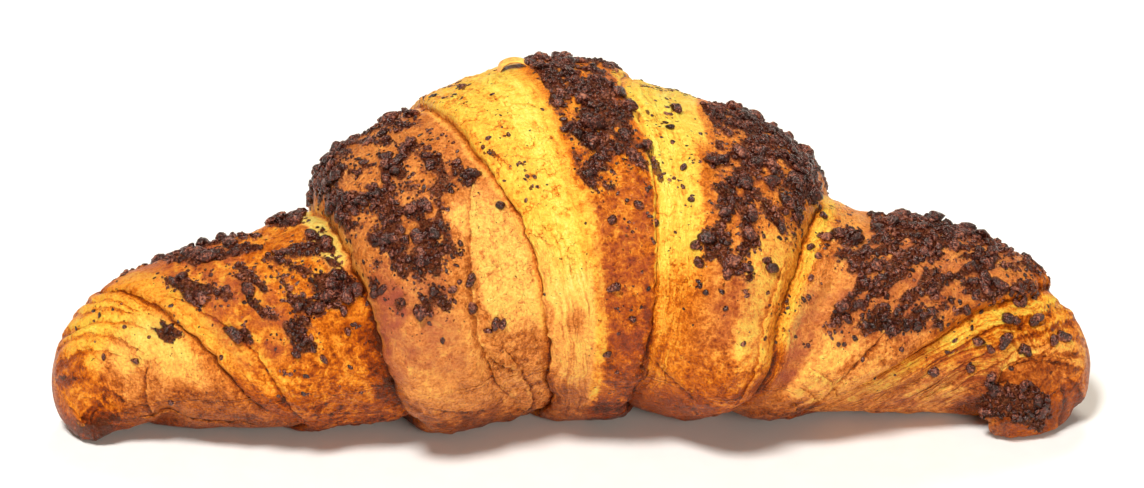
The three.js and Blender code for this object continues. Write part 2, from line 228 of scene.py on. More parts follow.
def section_at(wrap, seams):
    """The place along the sections of a wrap place, between the seams at its angle."""
    knots = np.stack([np.zeros_like(seams[0]), *seams, np.full_like(seams[0], LAST)])
    k = np.clip(np.floor(wrap).astype(int), 0, WRAPS - 1)
    left = np.take_along_axis(knots, k[None], 0)[0]
    right = np.take_along_axis(knots, k[None] + 1, 0)[0]
    return left + (right - left) * (wrap - k)


def along(start, end):
    """Signed distance in plan between two places along the spine."""
    dx, dy = (section(column, end) - section(column, start) for column in (X, Y))
    return np.sign(end - start) * np.hypot(dx, dy)


def shoulder(distance, width):
    """From 0 to 1 over the width past a seam: steep at first, then level."""
    q = np.clip(distance / width, 0, 1)
    return np.sqrt(1 - (1 - q) ** 2)


def flake_edge(d):
    """Height over the edge of a thin layer: it lifts towards the edge, with a groove past it."""
    lifted = np.where(d < -0.5, np.exp(-np.abs(d + 0.5) / 2.5), 0)
    return lifted - 0.5 * np.exp(-((d - 0.3) ** 2))


# --- Noise ---


def lattice(x, y, z, seed):
    """A random number from 0 to 1 for each place of whole numbers."""
    n = (x * 374761393 + y * 668265263 + z * 1440662683 + seed * 974634777) & 0xFFFFFFFF
    n = ((n ^ (n >> 13)) * 1274126177) & 0xFFFFFFFF
    n = ((n ^ (n >> 16)) * 668265263) & 0xFFFFFFFF
    return ((n ^ (n >> 15)) & 0xFFFFFF) / float(0xFFFFFF)


def noise(x, y, z=0.0, seed=0):
    """Smooth value noise from -1 to 1 with a grain of 1."""
    x, y, z = np.broadcast_arrays(x, y, z)
    cell = [np.floor(v).astype(np.int64) for v in (x, y, z)]
    fx, fy, fz = (smooth(v - c) for v, c in zip((x, y, z), cell))
    total = 0.0
    for i in (0, 1):
        for j in (0, 1):
            for k in (0, 1):
                weight = (fx if i else 1 - fx) * (fy if j else 1 - fy) * (fz if k else 1 - fz)
                total = total + weight * lattice(cell[0] + i, cell[1] + j, cell[2] + k, seed)
    return 2 * total - 1


def rough_noise(x, y, z=0.0, seed=0, octaves=3):
    total, size = 0.0, 1.0
    for k in range(octaves):
        total = total + size * noise(x * 2**k, y * 2**k, z * 2**k, seed + 17 * k)
        size *= 0.5
    return total / 1.6


def cells(x, y, z, seed):
    """Distance to the nearest of one random point per unit cell, and that point's own number."""
    base = [np.floor(v).astype(np.int64) for v in (x, y, z)]
    near = np.full(np.shape(x), 9.0)
    own = np.zeros(np.shape(x))
    for i in (-1, 0, 1):
        for j in (-1, 0, 1):
            for k in (-1, 0, 1):
                c = (base[0] + i, base[1] + j, base[2] + k)
                spot = [c[n] + lattice(*c, seed + n) for n in range(3)]
                d = np.sqrt((x - spot[0]) ** 2 + (y - spot[1]) ** 2 + (z - spot[2]) ** 2)
                closer = d < near
                near = np.where(closer, d, near)
                own = np.where(closer, lattice(*c, seed + 5), own)
    return near, own


# --- The crust as one fine grid, with what its material needs to know at each point ---

INNER_COLUMNS, TIP_COLUMNS = 74, 64
EDGE_CROWDING = 0.55
ROWS_UNDER, ROWS_SHOWN, ROWS_BACK = 22, 138, 38
SHOWN_FROM, SHOWN_TO = 25.0, 240.0

# Each table below lists patches of the crust: the wrap range, the angle range, how softly it starts
# and ends in both, and how strong it is.

# Pale streaks, where the dough only came out from under the next wrap while it baked.
STREAKS = [
    ((0.3, 1.0), (96, 235), (0.2, 30), 0.5),
    ((1.0, 1.12), (55, 175), (0.08, 30), 0.5),
    ((1.9, 2.01), (120, 230), (0.03, 20), 0.4),
    ((2.99, 3.44), (50, 130), (0.05, 24), 1.0),
    ((2.99, 3.44), (130, 262), (0.05, 30), 0.4),
    ((3.5, 3.98), (30, 120), (0.1, 20), 0.35),
    ((3.97, 4.22), (70, 262), (0.06, 26), 0.9),
    ((4.97, 5.16), (72, 255), (0.06, 22), 0.9),
    ((5.6, 5.98), (50, 118), (0.2, 24), 0.4),
    ((6.0, 6.6), (40, 245), (0.1, 30), 1.0),
]
# Crinkled thin skin with blisters.
CRINKLES = [
    ((0.5, 1.0), (50, 120), (0.2, 30), 0.6),
    ((2.62, 2.98), (40, 145), (0.1, 20), 1.0),
    ((3.0, 3.44), (118, 250), (0.1, 30), 0.8),
    ((4.35, 4.98), (40, 105), (0.2, 20), 0.5),
    ((5.3, 5.9), (40, 110), (0.2, 20), 0.9),
    ((1.1, 1.95), (30, 100), (0.2, 20), 0.7),
    ((2.05, 2.6), (30, 100), (0.2, 20), 0.6),
]
# Thin orange creases in the pale skin.
VEINS = [
    ((3.02, 3.44), (112, 250), (0.05, 16), 1.0),
    ((3.98, 4.3), (112, 250), (0.05, 16), 0.8),
    ((2.62, 2.98), (60, 140), (0.06, 16), 0.6),
    ((5.0, 5.16), (96, 230), (0.04, 16), 0.7),
    ((0.3, 0.98), (60, 200), (0.1, 20), 0.5),
]
# Chocolate that melted onto the crust; its strength is about the share of the crust it covers.
CHOCOLATE = [
    ((1.12, 1.34), (145, 170), (0.05, 8), 1.0),
    ((1.38, 1.47), (132, 168), (0.03, 6), 0.8),
    ((1.54, 1.96), (118, 172), (0.06, 8), 0.8),
    ((1.18, 1.28), (117, 128), (0.04, 6), 0.9),
    ((0.87, 0.97), (124, 142), (0.04, 6), 0.75),
    ((1.42, 1.66), (110, 130), (0.06, 8), 0.5),
    ((1.28, 1.62), (174, 240), (0.06, 8), 0.8),
    ((1.74, 1.94), (192, 240), (0.06, 14), 0.75),
    ((1.1, 1.5), (210, 240), (0.1, 16), 0.45),
    ((2.03, 2.2), (118, 136), (0.04, 8), 0.66),
    ((2.03, 2.36), (146, 172), (0.05, 10), 0.78),
    ((2.03, 2.2), (172, 240), (0.04, 12), 0.95),
    ((2.14, 2.4), (112, 240), (0.06, 12), 0.64),
    ((2.36, 2.64), (120, 240), (0.08, 12), 0.47),
    ((2.4, 2.58), (156, 168), (0.05, 6), 0.9),
    ((2.24, 2.52), (108, 136), (0.06, 8), 0.5),
    ((2.6, 2.93), (146, 176), (0.06, 8), 0.5),
    ((2.64, 2.9), (178, 240), (0.06, 14), 0.62),
    ((3.48, 3.96), (142, 242), (0.05, 10), 0.8),
    ((3.5, 3.9), (170, 242), (0.05, 14), 0.88),
    ((4.26, 4.42), (126, 142), (0.04, 6), 0.9),
    ((4.26, 4.42), (142, 166), (0.04, 6), 0.4),
    ((4.34, 4.68), (124, 242), (0.05, 10), 0.78),
    ((4.64, 4.94), (146, 242), (0.06, 12), 0.72),
    ((4.5, 4.98), (165, 242), (0.06, 14), 0.85),
    ((5.14, 5.3), (148, 172), (0.03, 6), 0.8),
    ((5.06, 5.2), (146, 166), (0.04, 6), 0.3),
    ((5.26, 5.55), (142, 240), (0.05, 8), 0.9),
    ((5.3, 5.98), (116, 240), (0.08, 10), 0.55),
    ((5.3, 5.56), (165, 240), (0.08, 16), 0.75),
    ((5.56, 5.9), (152, 176), (0.08, 10), 0.7),
    ((6.76, 6.96), (62, 320), (0.03, 10), 1.4),
]
NO_CHOCOLATE = -0.8  # the same measure, far from all of them
# Single nuggets: wrap, angle and width.
NUGGETS = [
    (0.66, 119, 1.6), (0.5, 146, 1.1), (0.72, 76, 1.2), (0.78, 150, 0.9),
    (1.42, 108, 1.9), (1.62, 101, 1.5), (1.86, 120, 1.9), (1.92, 129, 1.8), (1.84, 110, 1.5),
    (2.62, 117, 2.3), (2.52, 116, 1.6), (2.12, 123, 2.0), (2.6, 108, 2.2), (2.7, 101, 2.2),
    (2.74, 100, 1.7), (2.66, 99, 1.5), (2.34, 111, 1.2), (2.4, 100, 1.1), (2.93, 137, 1.9),
    (3.64, 111, 2.3), (3.88, 137, 1.9), (3.67, 131, 1.9), (4.01, 134, 1.4), (4.17, 157, 1.4),
    (4.2, 182, 2.2), (3.6, 89, 1.6), (3.82, 102, 1.4), (4.2, 146, 1.2), (4.14, 172, 1.6),
    (4.8, 132, 2.5), (4.74, 134, 1.9), (4.6, 129, 2.0), (4.24, 131, 2.2), (4.27, 126, 2.0),
    (4.34, 117, 1.2), (4.44, 119, 1.2), (4.5, 114, 1.1), (5.09, 162, 2.0), (5.0, 182, 1.4),
    (5.04, 176, 1.6), (5.04, 153, 1.6), (5.09, 150, 1.4), (5.09, 137, 1.3), (5.1, 126, 1.1),
    (5.34, 118, 1.3), (5.52, 119, 1.5), (5.52, 112, 1.2), (5.44, 108, 1.0),
    (6.0, 170, 2.3), (6.02, 164, 1.8), (6.1, 147, 2.4), (6.12, 152, 2.0), (6.13, 173, 2.2),
    (6.15, 168, 2.0), (6.15, 118, 2.2), (6.23, 134, 2.6), (6.25, 128, 1.9), (6.31, 203, 2.8),
    (6.32, 192, 2.2), (6.4, 159, 2.4), (6.38, 152, 2.0), (6.17, 87, 2.2), (6.38, 98, 2.0),
    (6.4, 90, 1.7), (6.27, 96, 1.9), (6.23, 118, 1.8),
]
# Small specks of chocolate, mostly on the pale strips.
SPECKS = [
    ((2.99, 3.2), (140, 205), (0.06, 20), 0.9),
    ((3.13, 3.19), (184, 194), (0.02, 4), 9.0),
    ((3.1, 3.16), (152, 162), (0.02, 4), 9.0),
    ((3.02, 3.08), (150, 160), (0.02, 4), 9.0),
    ((3.03, 3.08), (172, 183), (0.02, 4), 9.0),
    ((3.09, 3.15), (139, 147), (0.02, 4), 7.0),
    ((4.13, 4.21), (180, 190), (0.02, 4), 9.0),
    ((4.06, 4.13), (168, 178), (0.02, 4), 9.0),
    ((4.0, 4.05), (146, 156), (0.02, 4), 7.0),
    ((3.0, 3.45), (112, 215), (0.1, 40), 0.12),
    ((3.99, 4.34), (150, 240), (0.05, 20), 0.9),
    ((3.99, 4.3), (90, 150), (0.05, 20), 0.22),
    ((4.99, 5.27), (105, 230), (0.05, 20), 0.6),
    ((1.0, 1.95), (76, 240), (0.2, 24), 0.45),
    ((2.02, 2.6), (96, 240), (0.1, 20), 0.3),
    ((3.46, 3.97), (60, 240), (0.1, 30), 0.45),
    ((4.36, 4.97), (96, 240), (0.1, 24), 0.5),
    ((5.27, 5.97), (104, 240), (0.1, 24), 0.6),
    ((0.45, 1.0), (105, 235), (0.2, 30), 0.2),
    ((6.0, 6.6), (85, 235), (0.2, 40), 0.2),
]
# Paler, less golden crust.
SOFT = [
    ((0.4, 0.98), (30, 150), (0.2, 30), 0.8),
    ((1.85, 2.0), (130, 240), (0.05, 20), 0.8),
    ((2.02, 2.98), (40, 240), (0.1, 16), 1.0),
    ((3.0, 3.46), (40, 118), (0.06, 20), 0.9),
    ((4.3, 4.9), (96, 240), (0.2, 20), 0.5),
    ((5.1, 5.95), (45, 240), (0.1, 16), 0.9),
    ((6.0, 7.0), (20, 90), (0.2, 20), 0.8),
    ((6.3, 7.0), (90, 240), (0.2, 20), 0.6),
]
# Crust baked unevenly, in dark and golden blotches.
BLOTCHES = [
    ((0.35, 0.6), (50, 110), (0.2, 20), 0.5),
    ((1.12, 1.98), (30, 116), (0.1, 16), 1.0),
    ((1.2, 1.95), (116, 240), (0.1, 20), 0.7),
    ((2.02, 2.6), (25, 70), (0.1, 16), 0.5),
    ((3.46, 3.98), (30, 150), (0.06, 16), 1.0),
    ((4.35, 4.98), (70, 140), (0.15, 16), 0.8),
    ((5.3, 5.98), (88, 130), (0.1, 16), 0.8),
    ((6.0, 6.7), (40, 240), (0.1, 20), 0.7),
    ((6.0, 7.0), (0, 60), (0.1, 20), 0.6),
    ((0.0, 0.4), (0, 240), (0.1, 20), 0.5),
]
# A rosy brown cast beside the chocolate.
BLUSH = [
    ((5.1, 5.27), (84, 136), (0.06, 14), 0.9),
    ((2.02, 2.5), (84, 128), (0.12, 14), 0.8),
    ((2.02, 2.24), (96, 122), (0.06, 8), 1.2),
    ((3.48, 3.95), (84, 140), (0.08, 18), 0.45),
    ((4.38, 4.8), (104, 128), (0.15, 14), 0.5),
    ((6.1, 6.7), (50, 120), (0.2, 30), 0.4),
    ((5.27, 5.9), (110, 240), (0.1, 20), 0.6),
    ((1.1, 1.5), (108, 240), (0.1, 20), 0.6),
]
# Browning round the roll, darker underneath, partly painted shade there: angles and values.
BROWNING_AND_UNDERSIDE_SHADE = ([0, 30, 50, 70, 90, 110, 140, 180, 230, 270, 310, 360],
            [0.94, 0.86, 0.79, 0.73, 0.66, 0.6, 0.58, 0.57, 0.6, 0.68, 0.82, 0.94])
# Browning and painted shade beside the seams, and how far they reach onto the lower and the upper wrap.
SEAM_SHADE_AND_BROWNING, SEAM_SHADE_REACH = 0.17, (0.8, 1.6)
# Browning from 0, pale yellow, to 1, dark brown: here the value stands before the strength.
TONES = [
    # The left tip is dark, the folds next to it are golden.
    ((0.0, 0.34), (-10, 104), (0.14, 20), 0.94, 0.9),
    ((0.0, 0.5), (120, 236), (0.2, 20), 0.6, 0.9),
    ((0.0, 0.22), (112, 240), (0.08, 14), 0.46, 0.95),
    ((0.0, 0.1), (126, 160), (0.05, 10), 0.36, 0.9),
    ((0.1, 0.22), (94, 118), (0.05, 10), 0.84, 0.9),
    ((0.34, 0.5), (134, 168), (0.1, 14), 0.4, 0.9),
    ((0.5, 0.98), (112, 220), (0.15, 16), 0.32, 0.95),
    ((0.26, 0.5), (88, 140), (0.08, 10), 0.7, 0.9),
    ((0.44, 0.66), (90, 112), (0.08, 10), 0.54, 0.9),
    ((0.26, 0.42), (170, 240), (0.06, 10), 0.74, 0.9),
    ((0.74, 0.92), (92, 150), (0.08, 14), 0.28, 0.9),
    ((0.94, 1.0), (60, 130), (0.04, 20), 0.6, 0.7),
    ((1.0, 1.15), (98, 200), (0.04, 16), 0.42, 0.95),
    ((1.15, 1.3), (88, 112), (0.1, 14), 0.48, 0.9),
    ((1.3, 1.95), (74, 108), (0.1, 14), 0.65, 0.9),
    ((1.15, 1.85), (30, 68), (0.15, 14), 0.74, 0.9),
    ((1.88, 2.0), (144, 236), (0.03, 12), 0.16, 1.0),
    # Painted shade: the deep crease here is darkened.
    ((1.88, 2.0), (60, 108), (0.06, 20), 0.92, 0.8),
    ((1.88, 2.0), (110, 128), (0.05, 10), 0.56, 0.9),
    # The lobe left of the middle: brown in front, thin pale skin beside the middle wrap.
    ((2.0, 2.05), (100, 165), (0.02, 16), 0.34, 0.9),
    ((2.08, 2.62), (70, 112), (0.06, 14), 0.52, 0.9),
    ((2.04, 2.36), (30, 54), (0.1, 12), 0.8, 0.8),
    ((2.36, 2.6), (34, 64), (0.08, 12), 0.86, 0.9),
    ((2.4, 2.6), (66, 84), (0.08, 12), 0.64, 0.8),
    ((2.66, 2.98), (98, 140), (0.06, 10), 0.3, 0.95),
    ((2.66, 2.98), (60, 88), (0.08, 12), 0.58, 0.8),
    ((2.66, 2.93), (144, 235), (0.06, 12), 0.64, 0.8),
    ((2.94, 3.0), (98, 240), (0.03, 14), 0.34, 0.9),
    # The middle wrap: a yellow strip, then an orange one.
    ((2.99, 3.2), (98, 258), (0.03, 18), 0.26, 1.0),
    ((3.2, 3.4), (108, 258), (0.04, 18), 0.15, 1.0),
    ((3.4, 3.46), (96, 258), (0.04, 18), 0.34, 1.0),
    ((2.99, 3.46), (192, 262), (0.03, 16), 0.3, 0.9),
    ((2.99, 3.46), (244, 330), (0.1, 50), 0.66, 0.9),
    ((3.02, 3.44), (76, 98), (0.05, 14), 0.42, 0.9),
    ((3.0, 3.5), (25, 62), (0.06, 12), 0.76, 0.9),
    ((3.44, 3.56), (62, 142), (0.05, 12), 0.4, 0.9),
    ((3.6, 3.94), (70, 108), (0.06, 14), 0.75, 0.9),
    ((3.6, 3.94), (110, 136), (0.06, 12), 0.6, 0.9),
    ((3.55, 4.0), (20, 60), (0.08, 12), 0.89, 0.9),
    # The wraps right of it.
    ((3.96, 4.1), (114, 258), (0.03, 18), 0.14, 1.0),
    ((4.08, 4.26), (122, 258), (0.04, 18), 0.2, 1.0),
    ((3.96, 4.32), (172, 258), (0.03, 14), 0.2, 1.0),
    ((3.96, 4.32), (240, 330), (0.1, 50), 0.66, 0.9),
    ((3.98, 4.12), (96, 114), (0.05, 14), 0.46, 0.9),
    ((4.12, 4.3), (72, 110), (0.05, 14), 0.57, 0.9),
    ((4.3, 4.6), (80, 118), (0.06, 14), 0.62, 0.9),
    ((4.62, 4.98), (96, 142), (0.05, 12), 0.36, 0.95),
    # Painted shade: this lip's steep side, turned from the light, is browner.
    ((4.93, 5.0), (96, 240), (0.03, 12), 0.44, 0.9),
    ((4.2, 5.0), (20, 72), (0.1, 12), 0.8, 0.8),
    ((4.99, 5.15), (104, 230), (0.03, 14), 0.3, 1.0),
    ((5.1, 5.26), (124, 230), (0.04, 10), 0.5, 0.9),
    ((5.08, 5.2), (138, 168), (0.03, 8), 0.64, 0.9),
    ((5.16, 5.3), (96, 120), (0.05, 12), 0.54, 0.9),
    ((5.28, 5.6), (80, 110), (0.06, 12), 0.38, 0.9),
    ((5.6, 5.98), (66, 96), (0.06, 12), 0.42, 0.9),
    ((5.0, 5.98), (20, 66), (0.1, 8), 0.84, 0.9),
    # The right tip.
    ((6.0, 6.13), (64, 106), (0.04, 14), 0.46, 0.95),
    ((6.0, 6.13), (110, 216), (0.04, 14), 0.36, 0.95),
    ((6.0, 6.35), (25, 66), (0.1, 12), 0.62, 0.9),
    ((6.15, 6.36), (64, 240), (0.06, 20), 0.54, 0.8),
    ((6.36, 6.62), (112, 240), (0.08, 16), 0.5, 0.9),
    ((6.36, 6.62), (30, 100), (0.08, 16), 0.84, 0.9),
    ((6.5, 6.72), (136, 240), (0.06, 10), 0.82, 0.9),
    ((6.62, 6.76), (0, 360), (0.06, 1), 0.78, 0.9),
    ((6.76, 7.0), (0, 360), (0.06, 1), 0.78, 0.9),
]


def seam_wobble(k, angle):
    """A seam isn't a smooth curve: it wanders by a few tenths of a millimetre."""
    turned = np.radians(angle)
    x, y = 2.2 * np.cos(turned), 2.2 * np.sin(turned)
    wander = 0.9 * noise(x, y, 3.1 * k, 40) + 0.35 * noise(4 * x, 4 * y, 3.1 * k, 41)
    return wander + 0.3 * noise(13 * x, 13 * y, 3.1 * k, 42)


def grid_axes():
    """The wrap place of each column and the angle of each row, closest where it matters."""
    s = np.arange(INNER_COLUMNS) / INNER_COLUMNS
    inner = s - EDGE_CROWDING * np.sin(2 * np.pi * s) / (2 * np.pi)
    tip = np.arange(TIP_COLUMNS) / TIP_COLUMNS
    wraps = [tip[1:]]
    wraps += [k + inner for k in range(1, WRAPS - 1)]
    wraps += [WRAPS - 1 + tip]
    under = np.linspace(0, SHOWN_FROM, ROWS_UNDER, endpoint=False)
    shown = np.linspace(SHOWN_FROM, SHOWN_TO, ROWS_SHOWN, endpoint=False)
    back = np.linspace(SHOWN_TO, 360, ROWS_BACK, endpoint=False)
    return np.concatenate(wraps), np.concatenate([under, shown, back])


def zones(rows, wrap, angle):
    """For each row of a table, how far inside its ranges each place is, and the row's values."""
    for wraps, angles, soft, *values in rows:
        yield band(wrap, *wraps, soft[0]) * band(angle, *angles, soft[1]), *values


def patches(rows, wrap, angle):
    """The strongest of the listed patches at each place."""
    best = np.zeros_like(wrap)
    for share, strength in zones(rows, wrap, angle):
        best = np.maximum(best, strength * share)
    return best


class Crust:
    """The fine grid: points, normals and masks, each an array of columns by rows."""

    def __init__(self):
        self.columns, self.rows = grid_axes()
        wrap, angle = np.meshgrid(self.columns, self.rows, indexing="ij")
        self.wrap, self.angle = wrap, angle
        seams = []
        for k, seam in enumerate(SEAMS):
            x = around(seam["x"], angle) + seam_wobble(k, angle)
            seams.append(np.interp(x, SEAM_X, SEAM_PLACES))
        self.seams = seams
        self.t = section_at(wrap, seams)
        self.measure()
        self.find_edges()
        self.paint()
        self.shape()

    def measure(self):
        """Millimetres onto the upper wrap from each seam, across the layers from the wrap's left
        seam, and round the roll."""
        k = np.floor(self.wrap).astype(int)
        start = along(np.zeros_like(self.t), self.t)
        from_seam = [along(seam, self.t) for seam in self.seams]
        self.inside = [side * distance for side, distance in zip(SIDES, from_seam)]
        self.across = np.take_along_axis(np.stack([start, *from_seam]), k[None], 0)[0]
        radius = 0.5 * (section(HALF_DEPTH, self.t) + section(HALF_HEIGHT, self.t)) + MEAN_RISE
        self.round = np.radians(self.angle) * radius
        self.layer = k.astype(float)

    def spread(self, pattern, grain, seed, *more):
        """A noise over the crust, its grain in millimetres across the layers and round the roll."""
        layer = self.layer * LAYER_STEP
        return pattern(self.across / grain[0], self.round / grain[1], layer, seed, *more)

    def from_fold(self, angles, wraps):
        """How much of a fold round the roll is left at each place, and the millimetres right of it."""
        start, end = angles
        a = np.where(self.angle > end, self.angle - 360, self.angle)
        f = np.clip((a - start) / (end - start), 0, 1)
        middle = section_at(bend(wraps, f), self.seams)
        return between_ends(a, start, end, FOLD_FADE), along(middle, self.t)

    def from_crease(self, wraps, angles):
        """How much of a crease is left at each place, and the millimetres above it."""
        start, end = wraps
        f = np.clip((self.wrap - start) / (end - start), 0, 1)
        above = self.round - self.round / np.maximum(self.angle, 1) * bend(angles, f)
        return between_ends(self.wrap, start, end, CREASE_FADE), above

    def find_edges(self):
        """The signed distance in millimetres to the nearest edge of a layer, above 0 on the layer,
        and how clearly that edge is the nearest one."""
        first, second, self.rim = (np.full_like(self.t, FAR) for _ in range(3))
        shown = band(self.angle, *EDGE_BAND)
        for distance in self.inside:
            self.take_edge(distance, shown, first, second)
        for angles, wraps, *_, towards in LIPS + LAYERS:
            left, distance = self.from_fold(angles, wraps)
            self.take_edge(-towards * distance, left, first, second)
        for wraps, angles, _, towards in CREASES:
            left, distance = self.from_crease(wraps, angles)
            self.take_edge(-towards * distance, left, first, second)
        self.rim = np.clip(self.rim, -EDGE_REACH, EDGE_REACH)
        self.rim_share = smooth((second - first) / 0.7) * smooth((1.8 - first) / 0.6)

    def take_edge(self, distance, share, first, second):
        """Note an edge where it is nearer than those before it: an edge counts as further away
        where less of it is left."""
        distance = distance / np.maximum(share, 0.02)
        size = np.abs(distance)
        nearer = size < first
        second[:] = np.where(nearer, first, np.minimum(second, size))
        first[:] = np.where(nearer, size, first)
        self.rim = np.where(nearer, distance, self.rim)

    def paint(self):
        """How each place is baked, with some painted shade, and where the small specks are."""
        wander = self.spread(rough_noise, (5, 16), 3)
        w, a = self.wrap + 0.03 * wander, self.angle + 9 * wander
        self.streaks = patches(STREAKS, w, a)
        self.crinkles = patches(CRINKLES, w, a)
        self.veins = patches(VEINS, w, a)
        self.blush = patches(BLUSH, w, a)
        self.soft = patches(SOFT, w, a)
        self.blotches = 0.12 + 0.88 * patches(BLOTCHES, w, a)
        clusters = self.spread(rough_noise, (2.6, 3.2), 8)
        self.specks = patches(SPECKS, w, a) * (0.05 + 1.5 * smooth(2.6 * clusters - 0.35))
        # Darker underneath: partly browning, partly painted shade.
        self.toast_and_shade = np.interp(self.angle, *BROWNING_AND_UNDERSIDE_SHADE)
        for share, value, strength in zones(TONES, w, a):
            self.toast_and_shade += strength * share * (value - self.toast_and_shade)
        # Painted shade and browning beside each seam, reaching further onto the upper wrap.
        shown = band(self.angle, *SEAM_SHADE_BAND)
        for distance in self.inside:
            reach = np.where(distance < 0, *SEAM_SHADE_REACH)
            self.toast_and_shade += SEAM_SHADE_AND_BROWNING * (np.exp(-np.abs(distance) / reach) * shown)
        self.toast_and_shade += 0.07 * self.spread(rough_noise, (9, 9), 5)
        self.paint_chocolate()

    def paint_chocolate(self):
        """The field of melted chocolate: crust where it is under a half, chocolate above."""
        wander = self.spread(rough_noise, (6, 6), 11)
        w, a = self.wrap + 0.04 * wander, self.angle + 8 * wander
        field = np.full_like(w, NO_CHOCOLATE)
        for share, strength in zones(CHOCOLATE, w, a):
            field = np.maximum(field, share * (strength - NO_CHOCOLATE) + NO_CHOCOLATE)
        islands = 0.75 * self.spread(rough_noise, (3.4, 3.8), 12, 2)
        gaps = 0.85 * self.spread(noise, (1.6, 1.7), 14) - 0.06
        self.chocolate = np.where(field > NO_CHOCOLATE + 0.01, field + islands + gaps, -1)
        fringe = smooth((self.chocolate + 0.7) / 0.7) * smooth((0.45 - self.chocolate) / 0.2)
        self.specks = np.maximum(self.specks, 0.8 * fringe)

    def shape(self):
        """The points of the grid, and their normals."""
        t, turned = self.t, np.radians(self.angle)
        depth, height = section(HALF_DEPTH, t), section(HALF_HEIGHT, t)
        forward, up = np.sin(turned), -np.cos(turned)
        out = np.stack([forward / np.maximum(depth, 1), up / np.maximum(height, 1)])
        out /= np.linalg.norm(out, axis=0)
        proud = self.wrap_rise() + self.fold_height() + self.small_relief()
        heading = np.radians(section(HEADING, t))
        tangent = np.stack([np.cos(heading), np.sin(heading), 0 * heading], -1)
        front = np.stack([np.sin(heading), -np.cos(heading), 0 * heading], -1)
        reach = depth * forward + proud * out[0]
        points = front * reach[..., None] + tangent * self.overhang()[..., None]
        points[..., X] += section(X, t)
        points[..., Y] += section(Y, t)
        points[..., Z] = settle(section(Z, t) + height * up + proud * out[1])
        points[..., :2] -= MIDDLE
        self.points = points
        self.normals = grid_normals(points)

    def wrap_rise(self):
        """How far each wrap rises over the next one, with a dip beside each seam."""
        total = np.zeros_like(self.t)
        for k in range(len(SEAMS) // 2):
            m = len(SEAMS) - 1 - k
            left, right = SEAMS[k], SEAMS[m]
            from_left, to_right = self.inside[k], self.inside[m]
            blend = smooth((self.t - self.seams[k]) / (self.seams[m] - self.seams[k]))
            rise = around(left["rise"], self.angle) * (1 - blend)
            rise = rise + around(right["rise"], self.angle) * blend
            steps = shoulder(from_left, left["shoulder"]) * shoulder(to_right, right["shoulder"])
            total += rise * steps
            for distance, seam in ((from_left, left), (to_right, right)):
                size = np.where(distance < 0, DIP_REACH, DIP_UNDER_LIP)
                total -= around(seam["dip"], self.angle) * np.exp(-np.abs(distance) / size)
        return total

    def fold_height(self):
        """The height of the folds, lips, thin layers and creases."""
        total = np.zeros_like(self.t)
        for angles, wraps, size, width in FOLDS:
            left, distance = self.from_fold(angles, wraps)
            total += left * size * np.exp(-((distance / width) ** 2))
        for angles, wraps, drop, run, towards in LIPS:
            left, distance = self.from_fold(angles, wraps)
            total -= left * drop * smooth(distance * towards / run)
        for angles, wraps, drop, run, towards in LAYERS:
            left, distance = self.from_fold(angles, wraps)
            total += left * drop * flake_edge(distance * towards / run)
        for wraps, angles, drop, towards in CREASES:
            left, distance = self.from_crease(wraps, angles)
            total += left * drop * flake_edge(distance * towards / EDGE_RUN)
        return total

    def small_relief(self):
        """Swells, streaks of thin layers where the dough is pale, crinkles and blisters where the
        skin is thin, and the thickness of the melted chocolate."""
        swell = SWELL * self.spread(rough_noise, (9, 12), 21)
        wrinkle = WRINKLE * self.spread(rough_noise, (2.6, 9), 22)
        streak = STREAK * self.spread(rough_noise, (1.05, 26), 23, 2) * (0.3 + self.streaks)
        ridges = 1 - np.abs(self.spread(noise, (2.2, 2.8), 26))
        finer = 1 - np.abs(self.spread(noise, (1.1, 1.5), 27))
        crinkle = (CRINKLE * ridges**3 + FINE_CRINKLE * finer**2) * self.crinkles
        bubble, own = self.spread(cells, (2.6, 3.2), 24)
        blister = BLISTER * own * np.clip(1 - (bubble / 0.55) ** 2, 0, 1)
        melted = smooth((self.chocolate - 0.42) / 0.2)
        lumpy = MELTED + MELTED_LUMPS * self.spread(rough_noise, (1.3, 1.3), 25, 2)
        tips = smooth(self.wrap / 0.15) * smooth((WRAPS - self.wrap) / 0.12)
        relief = swell + wrinkle + streak + crinkle + blister * (1 - melted)
        return tips * (relief + melted * lumpy)

    def overhang(self):
        """How far the wraps' lips are pushed along the roll over the lower wrap."""
        total = np.zeros_like(self.t)
        shown = band(self.angle, *LIP_BAND)
        for k, (seam, side, distance) in enumerate(zip(SEAMS, SIDES, self.inside)):
            q = np.clip(distance / (0.8 * seam["shoulder"]), 0, 1)
            ragged = 0.8 + 0.5 * noise(self.round / 3.5, 7.3 * k, 0, 31)
            ragged = ragged + 0.45 * noise(self.round / 1.1, 7.3 * k, 0, 34)
            total -= side * seam["lip"] * ragged * shown * 6.75 * q * (1 - q) ** 2
        return total

    def cell_areas(self):
        """The area of each grid cell."""
        points = np.concatenate([self.points, self.points[:, :1]], axis=1)
        first = points[1:, 1:] - points[:-1, :-1]
        second = points[:-1, 1:] - points[1:, :-1]
        return 0.5 * np.linalg.norm(np.cross(first, second), axis=-1)

    def spot(self, wrap, angle):
        """The column and row of a wrap place and angle."""
        column = np.interp(wrap, self.columns, np.arange(len(self.columns)))
        row = np.interp(angle, self.rows, np.arange(len(self.rows)))
        return column, row

